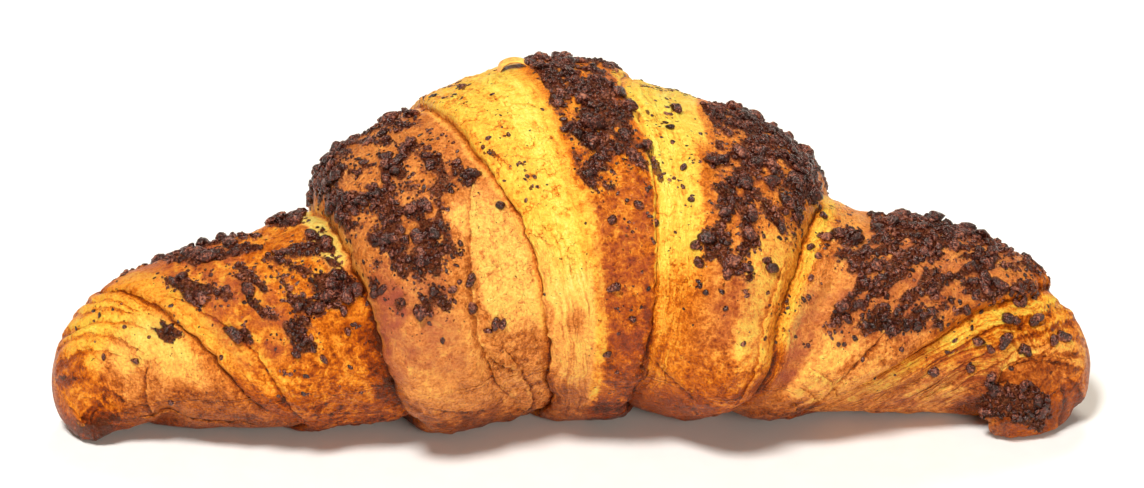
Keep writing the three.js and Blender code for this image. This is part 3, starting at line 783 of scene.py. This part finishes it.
    def between(self, column, row):
        """Point and normal of the crust at places counted in columns and rows."""
        c, r = column.astype(int), row.astype(int)
        fc, fr = (column - c)[:, None], (row - r)[:, None]
        rows = len(self.rows)
        found = []
        for field in (self.points, self.normals):
            low = field[c, r % rows] * (1 - fc) + field[c + 1, r % rows] * fc
            high = field[c, (r + 1) % rows] * (1 - fc) + field[c + 1, (r + 1) % rows] * fc
            found.append(low * (1 - fr) + high * fr)
        found[1] /= np.linalg.norm(found[1], axis=-1, keepdims=True)
        return found


def settle(z):
    """The dough lies flat on z = 0, with a small round where it leaves the floor."""
    blend = (z + 2 * FLOOR_BLEND) ** 2 / (8 * FLOOR_BLEND)
    return np.where(z > 2 * FLOOR_BLEND, z, np.where(z < -2 * FLOOR_BLEND, 0, blend))


def grid_normals(points):
    across = np.gradient(points, axis=0)
    wrapped = np.concatenate([points[:, -1:], points, points[:, :1]], axis=1)
    turned = wrapped[:, 2:] - wrapped[:, :-2]
    normals = np.cross(across, turned)
    return normals / np.maximum(np.linalg.norm(normals, axis=-1, keepdims=True), 1e-9)


# --- Meshes ---


def add_mesh(name, points, faces, material):
    """A smooth mesh from points in millimetres, which rides on the croissant's body."""
    mesh = bpy.data.meshes.new(name)
    mesh.from_pydata((np.asarray(points) * MM).tolist(), [], faces)
    mesh.polygons.foreach_set("use_smooth", np.ones(len(mesh.polygons), bool))
    mesh.materials.append(material)
    mesh.update()
    piece = bpy.data.objects.new(name, mesh)
    bpy.context.scene.collection.objects.link(piece)
    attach(piece, "root")
    return piece


def add_attribute(mesh, name, values):
    kind = "FLOAT_VECTOR" if np.ndim(values) == 2 else "FLOAT"
    field = "vector" if kind == "FLOAT_VECTOR" else "value"
    attribute = mesh.attributes.new(name, kind, "POINT")
    attribute.data.foreach_set(field, np.asarray(values, np.float32).ravel())


def add_flat_map(mesh, columns, rows):
    """Texture coordinates from the grid: along the roll and round it."""
    corner = np.zeros(len(mesh.loops), int)
    mesh.loops.foreach_get("vertex_index", corner)
    place = np.clip(corner - 1, 0, columns * rows - 1)
    u, v = (place // rows + 1) / (columns + 1), (place % rows) / rows
    u = np.where(corner == 0, 0, np.where(corner == len(mesh.vertices) - 1, 1, u))
    for face in mesh.polygons:
        loops = list(face.loop_indices)
        ring = [n for n in loops if 0 < corner[n] < len(mesh.vertices) - 1]
        if max(v[ring]) - min(v[ring]) > 0.5:
            for n in ring:
                v[n] += v[n] < 0.5
        for n in set(loops) - set(ring):
            v[n] = v[ring].mean()
    layer = mesh.uv_layers.new(name="OFBake")
    layer.data.foreach_set("uv", np.stack([u, v], -1).astype(np.float32).ravel())


def add_crust(crust, material):
    columns, rows = crust.wrap.shape
    tips = SECTIONS[[0, -1], :3] - [*MIDDLE, 0]
    points = np.concatenate([tips[:1], crust.points.reshape(-1, 3), tips[1:]])
    c, r = np.meshgrid(np.arange(columns - 1), np.arange(rows), indexing="ij")
    c, r = c.ravel(), r.ravel()

    def vertex(column, row):
        return 1 + column * rows + row % rows

    quads = np.stack([vertex(c, r), vertex(c + 1, r), vertex(c + 1, r + 1), vertex(c, r + 1)], -1)
    ring = np.arange(rows)
    end = len(points) - 1
    first = np.stack([0 * ring, vertex(0, ring), vertex(0, ring + 1)], -1)
    last = np.stack([0 * ring + end, vertex(columns - 1, ring + 1), vertex(columns - 1, ring)], -1)
    faces = quads.tolist() + first.tolist() + last.tolist()
    piece = add_mesh("croissant_crust", points, faces, material)

    def whole(field, at_tip=0):
        return np.concatenate([[at_tip], field.ravel(), [at_tip]])

    mesh = piece.data
    at_tips = dict(cover=-1, toast_and_shade=1, soft=0.5, blotches=0.5, rim=1)
    fields = dict(
        streaks=crust.streaks, crinkles=crust.crinkles, veins=crust.veins, cover=crust.chocolate,
        toast_and_shade=crust.toast_and_shade, blush=crust.blush, soft=crust.soft, blotches=crust.blotches,
        specks=crust.specks, rim=crust.rim, rim_share=crust.rim_share,
    )
    for name, field in fields.items():
        add_attribute(mesh, name, whole(field, at_tips.get(name, 0)))
    grain = [whole(crust.across), whole(crust.round), whole(crust.layer * 50)]
    add_attribute(mesh, "grain", np.stack(grain, -1))
    add_flat_map(mesh, columns, rows)
    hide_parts("croissant")


# --- The chocolate and the curled flake ---

# The flat faces of a crumb: how many, how far from its middle in its own width, and how sharp the
# edges between them are. Then how long it is for its breadth.
FACETS, FACET_HEIGHTS, EDGE_SHARPNESS = 8, (0.3, 0.48), 9
LONGNESS = (1.0, 1.7)
# How many places are tried for each crumb that is kept, and how much commoner narrow crumbs are.
TRIES, NARROWNESS = 8, 1.7


def scatter(crust, field, count, widths, spacing, rng):
    """Random places on the crust, dense where the field is high, none nearer to another than
    spacing times their half widths. Gives points, normals and widths."""
    weight = crust.cell_areas() * np.clip(field[:-1], 0, None)
    columns, rows = weight.shape
    tries = TRIES * count
    picks = rng.choice(weight.size, tries, p=weight.ravel() / weight.sum())
    column = picks // rows + rng.random(tries)
    row = picks % rows + rng.random(tries)
    points, normals = crust.between(column, row)
    low, high = widths
    width = low + (high - low) * rng.random(tries) ** NARROWNESS
    kept = []
    for i in range(tries):
        if len(kept) == count:
            break
        gaps = np.linalg.norm(points[kept] - points[i], axis=1)
        if np.all(gaps > spacing * 0.5 * (width[kept] + width[i])):
            kept.append(i)
    return points[kept], normals[kept], width[kept]


def nuggets(crust):
    """The single nuggets: points, normals and widths."""
    wrap, angle, width = np.array(NUGGETS).T
    points, normals = crust.between(*crust.spot(wrap, angle))
    return points, normals, width


def ball(level):
    """Vertices and triangles of a subdivided icosahedron of width 1."""
    shape = bmesh.new()
    bmesh.ops.create_icosphere(shape, subdivisions=level, radius=0.5)
    vertices = np.array([list(v.co) for v in shape.verts])
    triangles = np.array([[v.index for v in face.verts] for face in shape.faces])
    shape.free()
    return vertices, triangles


def frames(normals, spin):
    """For each normal, two directions across it, turned by its own spin, and the normal."""
    helper = np.where(np.abs(normals[:, :1]) < 0.8, [[1.0, 0, 0]], [[0, 1.0, 0]])
    side = np.cross(helper, normals)
    side /= np.linalg.norm(side, axis=1, keepdims=True)
    other = np.cross(normals, side)
    c, s = np.cos(spin)[:, None], np.sin(spin)[:, None]
    return np.stack([c * side + s * other, c * other - s * side, normals], 1)


def chunks(vertices, n, rng):
    """Balls cut by random planes, with softened edges."""
    directions = 2 * vertices
    cuts = rng.normal(size=(n, FACETS, 3))
    cuts /= np.linalg.norm(cuts, axis=-1, keepdims=True)
    heights = rng.uniform(*FACET_HEIGHTS, (n, FACETS, 1))
    facing = np.einsum("nfi,vi->nfv", cuts, directions)
    reach = heights / np.maximum(facing, 0.2)
    power = -EDGE_SHARPNESS
    radius = (0.5**power + (reach**power).sum(1)) ** (1 / power)
    return directions[None] * radius[..., None]


def add_crumbs(name, places, level, roughness, flatness, sink, material, rng):
    """Crumbs of chocolate, each with its own facets and bumps, pressed a little into the crust."""
    points, normals, widths = places
    vertices, triangles = ball(level)
    n = len(points)
    offset = rng.uniform(0, 100, (n, 1, 3))
    grain = np.moveaxis(2.9 * vertices[None] + offset, -1, 0)
    bumps = noise(*grain, 60) + 0.6 * noise(*(2.3 * grain), 61)
    shapes = chunks(vertices, n, rng) * (1 + roughness * bumps[..., None])
    long = rng.uniform(*LONGNESS, n)
    flat = rng.uniform(*flatness, n)
    stretch = np.stack([np.sqrt(long), 1 / np.sqrt(long), flat], 1)
    shapes = shapes * (stretch * widths[:, None])[:, None]
    axes = frames(normals, rng.uniform(0, 2 * np.pi, n))
    shapes = np.einsum("nvi,nij->nvj", shapes, axes)
    lift = ((0.5 - sink) * widths * flat)[:, None] * normals
    shapes += (points + lift)[:, None]
    faces = triangles[None] + len(vertices) * np.arange(n)[:, None, None]
    faces = faces.reshape(-1, 3).tolist()
    return add_mesh(name, shapes.reshape(-1, 3), faces, material)


# How the scattered crumbs lie: how many, how wide, and how near to each other in their own widths.
SCATTERED = {
    "chocolate_lumps": dict(count=560, widths=(1.2, 3.4), spacing=0.58),
    "chocolate_bits": dict(count=2400, widths=(0.45, 1.4), spacing=0.7),
    "chocolate_grit": dict(count=5200, widths=(0.35, 0.85), spacing=0.75),
    "chocolate_specks": dict(count=2300, widths=(0.25, 1.1), spacing=0.5),
}
# How each kind of crumb is formed: how finely it is divided, how rough it is, from how flat to how
# flat, and what share of it sinks into the crust.
FORMS = {
    "chocolate_lumps": dict(level=3, roughness=0.28, flatness=(0.5, 0.85), sink=0.36),
    "chocolate_bits": dict(level=2, roughness=0.22, flatness=(0.5, 0.85), sink=0.3),
    "chocolate_grit": dict(level=1, roughness=0.2, flatness=(0.6, 0.9), sink=0.25),
    "chocolate_nuggets": dict(level=3, roughness=0.16, flatness=(0.6, 0.85), sink=0.3),
    "chocolate_specks": dict(level=2, roughness=0.35, flatness=(0.15, 0.35), sink=0.3),
}
SEED = 20417


def add_chocolate(crust, material):
    """Every kind of crumb, from the lumps on the chocolate cover to the specks on the pale crust."""
    rng = np.random.default_rng(SEED)
    cluster = smooth(0.8 + 1.8 * crust.spread(rough_noise, (2.8, 3.2), 35))
    fields = {
        "chocolate_lumps": np.clip(crust.chocolate - 0.38, 0, 0.3) * (0.08 + cluster),
        "chocolate_bits": np.clip(crust.chocolate - 0.2, 0, 0.4),
        "chocolate_grit": np.clip(crust.chocolate - 0.3, 0, 0.3),
        "chocolate_specks": crust.specks,
    }
    for name, form in FORMS.items():
        if name in SCATTERED:
            places = scatter(crust, fields[name], rng=rng, **SCATTERED[name])
        else:
            places = nuggets(crust)
        piece = add_crumbs(name, places, material=material, rng=rng, **form)
        if name == "chocolate_grit":
            piece.data.polygons.foreach_set("use_smooth", np.zeros(len(piece.data.polygons), bool))


# The curled flake of crust that stands up on top of the middle wrap, a pocket open at the front.
CURL_PLACE = (3.435, 197)
CURL_SPAN, CURL_LENGTH, CURL_RISE, CURL_FOOT, CURL_THICKNESS = 6.2, 4.4, 2.1, 1.2, 0.22
CURL_HEADING = math.radians(6)
CURL_STEPS, CURL_ROWS = 36, 14


def add_curl(crust, material):
    """A thin sheet bent into an arch, frayed in front and closed behind, its feet in the crust."""
    place = [np.array([v], float) for v in CURL_PLACE]
    foot = crust.between(*crust.spot(*place))[0][0]
    turn = np.linspace(-0.5, math.pi + 0.5, CURL_STEPS)
    length = np.linspace(-0.5, 0.5, CURL_ROWS)
    turn, length = np.meshgrid(turn, length, indexing="ij")
    fray = 1 + 0.12 * noise(turn * 2.2, 0.5 * np.sign(length), 0, 71)
    fall = np.sqrt(1 - np.clip(length + 0.5, 0, 1) ** 2 * 0.97)
    sheets = []
    for inside in (0, 1):
        radius = CURL_SPAN / 2 - 0.1 - CURL_THICKNESS * inside
        radius = radius + 0.14 * noise(turn * 1.5, length * 3, 0, 72)
        across = radius * np.cos(turn) * (0.7 + 0.3 * fall)
        height = (radius * np.sin(turn) + CURL_RISE - CURL_SPAN / 2) * fall
        height = np.where((turn < 0) | (turn > math.pi), -CURL_FOOT, height)
        along_curl = CURL_LENGTH * length * fray
        c, s = math.cos(CURL_HEADING), math.sin(CURL_HEADING)
        x = c * across - s * along_curl
        y = s * across + c * along_curl
        sheets.append(np.stack([x, y, height], -1).reshape(-1, 3) + foot)
    m = CURL_STEPS * CURL_ROWS
    faces = []
    for i in range(CURL_STEPS - 1):
        for j in range(CURL_ROWS - 1):
            a, b = i * CURL_ROWS + j, (i + 1) * CURL_ROWS + j
            faces += [(a, a + 1, b + 1, b), (m + a, m + b, m + b + 1, m + a + 1)]
    border = [i * CURL_ROWS for i in range(CURL_STEPS)]
    border += [(CURL_STEPS - 1) * CURL_ROWS + j for j in range(1, CURL_ROWS)]
    border += [i * CURL_ROWS + CURL_ROWS - 1 for i in range(CURL_STEPS - 2, -1, -1)]
    border += list(range(CURL_ROWS - 2, 0, -1))
    for a, b in zip(border, border[1:] + border[:1]):
        faces.append((a, b, m + b, m + a))
    piece = add_mesh("curled_flake", np.concatenate(sheets), faces, material)
    # The inner sheet is marked for a darker colour: painted shade inside the pocket.
    add_attribute(piece.data, "inside", np.repeat([0.0, 1.0], m))


# --- Materials ---


def tone(red, green, blue):
    """A linear colour from its 8-bit display values."""
    values = [v / 255 for v in (red, green, blue)]
    linear = [v / 12.92 if v <= 0.04045 else ((v + 0.055) / 1.055) ** 2.4 for v in values]
    return (*linear, 1.0)


class Look:
    """A material's nodes: each method adds one or two and gives their output."""

    def __init__(self, name):
        self.material = bpy.data.materials.new(name)
        self.material.use_nodes = True
        self.tree = self.material.node_tree
        self.shader = self.tree.nodes["Principled BSDF"]

    def new(self, kind):
        return self.tree.nodes.new("ShaderNode" + kind)

    def fill(self, node, inputs, output=0):
        """A node's output, once its inputs are joined to other outputs or set to plain values."""
        for name, value in inputs.items():
            if isinstance(value, bpy.types.NodeSocket):
                self.tree.links.new(value, node.inputs[name])
            else:
                node.inputs[name].default_value = value
        return node.outputs[output]

    def attribute(self, name, output="Fac"):
        node = self.new("Attribute")
        node.attribute_name = name
        return node.outputs[output]

    def millimetres(self):
        """The place on the object, in millimetres."""
        return self.stretch(self.new("TexCoord").outputs["Object"], (1 / MM, 1 / MM, 1 / MM))

    def math(self, operation, *values):
        node = self.new("Math")
        node.operation = operation
        return self.fill(node, dict(enumerate(values)))

    def times(self, a, b):
        return self.math("MULTIPLY", a, b)

    def add(self, *terms):
        """The sum of some outputs, each with its own factor."""
        total = 0.0
        for value, factor in terms:
            total = self.math("MULTIPLY_ADD", value, factor, total)
        return total

    def vector(self, operation, a, b):
        node = self.new("VectorMath")
        node.operation = operation
        return self.fill(node, {0: a, 1: b}, "Vector")

    def stretch(self, vector, factors):
        return self.vector("MULTIPLY", vector, factors)

    def shift(self, vector, value, amount):
        """The vector moved along X by the value times the amount."""
        offset = self.fill(self.new("CombineXYZ"), {"X": self.times(value, amount)}, "Vector")
        return self.vector("ADD", vector, offset)

    def noise(self, vector, size, detail=3.0, roughness=0.55):
        """Noise round 0, from about -0.5 to 0.5, with grains of the given size."""
        inputs = {"Vector": vector, "Scale": 1 / size, "Detail": detail, "Roughness": roughness}
        return self.math("SUBTRACT", self.fill(self.new("TexNoise"), inputs, "Fac"), 0.5)

    def bubbles(self, vector, size):
        """Distance from the nearest of some random points, about 0 to 1."""
        return self.fill(self.new("TexVoronoi"), {"Vector": vector, "Scale": 1 / size}, "Distance")

    def step(self, value, low, high, bottom=0.0, top=1.0):
        """From bottom to top while the value goes from low to high."""
        node = self.new("MapRange")
        node.interpolation_type = "SMOOTHSTEP"
        inputs = {"Value": value, "From Min": low, "From Max": high, "To Min": bottom, "To Max": top}
        return self.fill(node, inputs, "Result")

    def mix(self, factor, a, b):
        node = self.new("Mix")
        node.data_type = "RGBA"
        return self.fill(node, {"Factor": factor, 6: a, 7: b}, 2)

    def ramp(self, value, stops, colours):
        node = self.new("ValToRGB")
        elements = node.color_ramp.elements
        while len(elements) < len(stops):
            elements.new(0.5)
        for element, position, colour in zip(elements, stops, colours):
            element.position = position
            element.color = tone(*colour)
        return self.fill(node, {"Fac": value}, "Color")

    def bump(self, height, depth, normal=None):
        """A bump that is depth millimetres high where the height is 1."""
        inputs = {"Distance": depth * MM, "Height": height}
        if normal is not None:
            inputs["Normal"] = normal
        return self.fill(self.new("Bump"), inputs, "Normal")

    def finish(self, colour, roughness, normal, **plain):
        plain = {socket.replace("_", " "): value for socket, value in plain.items()}
        self.fill(self.shader, {"Base Color": colour, "Roughness": roughness, "Normal": normal, **plain})
        return self.material


CRUST_STOPS = (0.0, 0.15, 0.3, 0.42, 0.52, 0.62, 0.72, 0.84, 1.0)
GOLDEN_CRUST = [
    (255, 234, 112), (254, 218, 84), (253, 195, 66), (251, 167, 54), (237, 136, 32),
    (208, 104, 10), (176, 76, 0), (136, 46, 0), (76, 16, 0),
]
SOFT_CRUST = [
    (255, 234, 138), (254, 218, 110), (253, 198, 92), (250, 173, 84), (236, 148, 72),
    (212, 122, 52), (182, 94, 32), (142, 60, 14), (82, 26, 4),
]
CHOCOLATE_STOPS = (0.0, 0.35, 0.65, 1.0)
# Chocolate colours from dark to light; the lightest stop is a painted highlight.
BAKED_CHOCOLATE_AND_GLINTS = [(4, 0, 0), (32, 1, 0), (88, 32, 20), (176, 106, 76)]
SMEARED_CHOCOLATE = [(26, 2, 2), (60, 18, 10), (108, 48, 28), (174, 98, 58)]
# The tint of the gloss on the crust and on the chocolate.
WARM = (1.0, 0.7, 0.32, 1.0)
COCOA = (1.0, 0.76, 0.68, 1.0)


def crust_material():
    look = Look("baked_crust")
    place = look.millimetres()
    # Streaks and threads are narrow across the layers and long round the roll.
    grain = look.attribute("grain", "Vector")
    streaky = look.attribute("streaks")
    crinkled = look.attribute("crinkles")
    blotched = look.attribute("blotches")
    mottle = look.noise(place, 3.4, 3)
    middle = look.noise(place, 1.3, 4, 0.65)
    fine = look.noise(place, 0.45, 3, 0.7)
    wavy = look.shift(grain, look.noise(place, 7.0, 2), 2.0)
    wavy = look.shift(wavy, look.noise(place, 1.6, 2), 0.5)
    streak = look.noise(look.stretch(wavy, (1 / 0.8, 1 / 12, 1)), 1.0, 2, 0.5)
    thread = look.noise(look.stretch(wavy, (1 / 0.34, 1 / 7, 1)), 1.0, 2, 0.6)
    blisters = look.step(look.bubbles(place, 1.5), 0.34, 0.1)
    ridges = look.math("ABSOLUTE", look.noise(place, 1.7, 3, 0.5))
    crinkle = look.times(ridges, crinkled)
    ragged = look.add((look.attribute("rim"), 1.0), (look.noise(place, 1.4, 3, 0.6), 1.1))
    vein = look.math("ABSOLUTE", look.noise(place, 4.2, 4, 0.6))
    vein = look.times(look.step(vein, 0.035, 0.0), look.step(mottle, -0.1, 0.06))
    vein = look.times(vein, look.attribute("veins"))
    rim_share = look.attribute("rim_share")
    # Painted shade: darker in the crease on the low side of each lip and layer edge.
    crease_shade = look.times(look.step(ragged, -1.2, -0.05), look.step(ragged, 0.2, 0.0))
    crease_shade = look.times(crease_shade, rim_share)
    # Painted highlight: the lip and layer edges are paler, as if catching the light.
    edge_highlight = look.times(look.step(ragged, 0.05, 0.2), look.step(ragged, 0.95, 0.35))
    edge_highlight = look.times(edge_highlight, rim_share)

    browned_and_shaded = look.add(
        # the toast attribute holds painted shade as well as browning
        (look.attribute("toast_and_shade"), 1.0),
        (mottle, 0.12),
        (look.times(mottle, blotched), 0.6),
        (middle, 0.46),
        (look.times(middle, blotched), 0.45),
        (fine, 0.68),
        # Streaks paler on their ridges, threads darker in their grooves: the dough's striping, partly
        # painted light and shade.
        (look.times(look.step(streak, 0.0, 0.08), streaky), -0.08),
        (look.times(look.step(streak, -0.05, -0.14), streaky), 0.1),
        (look.times(thread, streaky), 0.45),
        (look.times(blisters, blotched), 0.16),
        # Crinkles paler on their ridges, darker in their hollows: painted highlight and painted shade.
        (crinkle, 0.9),
        (crinkled, -0.06),
        (vein, 0.26),
        # painted shade in the creases
        (crease_shade, 0.2),
        # painted highlight on the edges
        (edge_highlight, -0.05),
    )
    golden = look.ramp(browned_and_shaded, CRUST_STOPS, GOLDEN_CRUST)
    soft = look.ramp(browned_and_shaded, CRUST_STOPS, SOFT_CRUST)
    colour = look.mix(look.attribute("soft"), golden, soft)
    blush = look.times(look.attribute("blush"), look.step(mottle, -0.2, 0.15, 0.2, 0.8))
    colour = look.mix(blush, colour, tone(164, 76, 58))
    fleck = look.noise(place, 0.8, 2, 0.5)
    flecked = look.add((fleck, 1.0), (look.attribute("specks"), 0.1))
    colour = look.mix(look.step(flecked, 0.2, 0.25, 0.0, 0.9), colour, tone(104, 44, 12))

    cover = look.add((look.attribute("cover"), 1.0), (middle, 0.9), (fine, 0.8))
    stained = look.mix(look.step(cover, 0.1, 0.5), tone(190, 98, 58), tone(112, 50, 48))
    colour = look.mix(look.step(cover, 0.1, 0.5, 0.0, 0.5), colour, stained)
    uneven = look.add((fine, 1.6), (middle, 0.8), (mottle, 0.5), (0.5, 1.0))
    dark = look.ramp(uneven, CHOCOLATE_STOPS, SMEARED_CHOCOLATE)
    smear = look.step(cover, 0.47, 0.55)
    colour = look.mix(smear, colour, dark)

    roughness = look.add((fine, 0.8), (middle, 0.5), (browned_and_shaded, -0.24), (smear, -0.1), (0.5, 1.0))
    normal = look.bump(middle, 0.8)
    normal = look.bump(fine, 0.5, normal)
    normal = look.bump(look.times(look.step(streak, -0.12, 0.1), streaky), 0.12, normal)
    normal = look.bump(look.times(thread, streaky), -0.25, normal)
    normal = look.bump(crinkle, -0.7, normal)
    normal = look.bump(vein, -0.12, normal)
    normal = look.bump(look.times(look.step(ragged, -0.25, 0.2), rim_share), 0.16, normal)
    normal = look.bump(look.times(blisters, blotched), 0.1, normal)
    normal = look.bump(look.times(look.bubbles(place, 0.8), smear), -0.45, normal)
    return look.finish(colour, roughness, normal, Specular_IOR_Level=0.36, Specular_Tint=WARM)


def flake_material():
    look = Look("pale_flake")
    place = look.millimetres()
    patch = look.noise(place, 2.0, 3)
    fine = look.noise(place, 0.5, 3, 0.6)
    pale = look.ramp(look.add((patch, 0.9), (fine, 0.5), (0.36, 1.0)), CRUST_STOPS, SOFT_CRUST)
    # Painted shade: the pocket's inner sheet is a darker brown.
    colour = look.mix(look.attribute("inside"), pale, tone(156, 86, 32))
    return look.finish(colour, 0.5, look.bump(fine, 0.15), Specular_IOR_Level=0.17)


def chocolate_material():
    look = Look("baked_chocolate")
    place = look.millimetres()
    patch = look.noise(place, 3.0, 2)
    fine = look.noise(place, 0.45, 4, 0.6)
    # Lighter where the grain is raised: painted glints over the chocolate's own dark colour.
    uneven = look.add((patch, 1.3), (fine, 2.1), (0.5, 1.0))
    colour = look.ramp(uneven, CHOCOLATE_STOPS, BAKED_CHOCOLATE_AND_GLINTS)
    roughness = look.add((patch, 0.8), (fine, 1.0), (0.16, 1.0))
    normal = look.bump(fine, 0.4)
    return look.finish(colour, roughness, normal, Specular_IOR_Level=0.74, Specular_Tint=COCOA)


# --- Floor, light and camera ---

FLOOR_SIZE, FLOOR_HEIGHT = 4.0, -0.05
WORLD_COLOUR, WORLD_STRENGTH = (1.0, 0.9, 0.74, 1.0), 0.13
# Each light's place, the height that it points at, its width, power and colour.
LIGHTS = {
    "key": ((-0.25, -0.45, 1.0), 0.02, 0.28, 12.8, (1.0, 0.985, 0.95)),
    "fill": ((0.45, -1.0, 0.42), 0.02, 0.5, 5.2, (1.0, 0.95, 0.86)),
    "top": ((0.1, 0.6, 0.85), 0.04, 0.4, 5.6, (1.0, 0.93, 0.8)),
}
CAMERA_ELEVATION = math.radians(28)
CAMERA_DISTANCE = 0.62
CAMERA_TARGET = Vector((0, -6.276, 29.5)) * MM
FOCAL_LENGTH_PIXELS = 3575.5
SENSOR_WIDTH = 36.0


def add_floor():
    mesh = bpy.data.meshes.new("floor")
    half = FLOOR_SIZE / 2
    corners = [(-half, -half), (half, -half), (half, half), (-half, half)]
    mesh.from_pydata([(x, y, FLOOR_HEIGHT * MM) for x, y in corners], [], [(0, 1, 2, 3)])
    floor = bpy.data.objects.new("floor", mesh)
    look = Look("pale_floor")
    grain = look.noise(look.millimetres(), 6.0)
    colour = look.mix(look.step(grain, -0.3, 0.3), tone(244, 243, 241), tone(248, 247, 245))
    mesh.materials.append(look.finish(colour, 0.8, look.bump(grain, 0.02)))
    bpy.context.scene.collection.objects.link(floor)


def add_light(name, place, aim, size, power, colour):
    data = bpy.data.lights.new(name, "AREA")
    data.shape = "DISK"
    data.size = size
    data.energy = power
    data.color = colour
    light = bpy.data.objects.new(name, data)
    light.location = place
    light.rotation_euler = (Vector((0, 0, aim)) - Vector(place)).to_track_quat("-Z", "Y").to_euler()
    bpy.context.scene.collection.objects.link(light)


def add_world():
    world = bpy.data.worlds.new("studio")
    world.use_nodes = True
    background = world.node_tree.nodes["Background"]
    background.inputs["Color"].default_value = WORLD_COLOUR
    background.inputs["Strength"].default_value = WORLD_STRENGTH
    bpy.context.scene.world = world


def add_camera():
    data = bpy.data.cameras.new("camera")
    data.sensor_width = SENSOR_WIDTH
    data.lens = FOCAL_LENGTH_PIXELS * SENSOR_WIDTH / IMAGE_WIDTH
    data.clip_start = 0.01
    camera = bpy.data.objects.new("camera", data)
    away = Vector((0, -math.cos(CAMERA_ELEVATION), math.sin(CAMERA_ELEVATION)))
    camera.location = CAMERA_TARGET + CAMERA_DISTANCE * away
    camera.rotation_euler = (-away).to_track_quat("-Z", "Y").to_euler()
    bpy.context.scene.collection.objects.link(camera)
    bpy.context.scene.camera = camera


# --- The scene ---

crust = Crust()
add_crust(crust, crust_material())
add_chocolate(crust, chocolate_material())
add_curl(crust, flake_material())
add_floor()
add_world()
for name, light in LIGHTS.items():
    add_light(name, *light)
add_camera()
bpy.context.scene.view_settings.view_transform = "Standard"
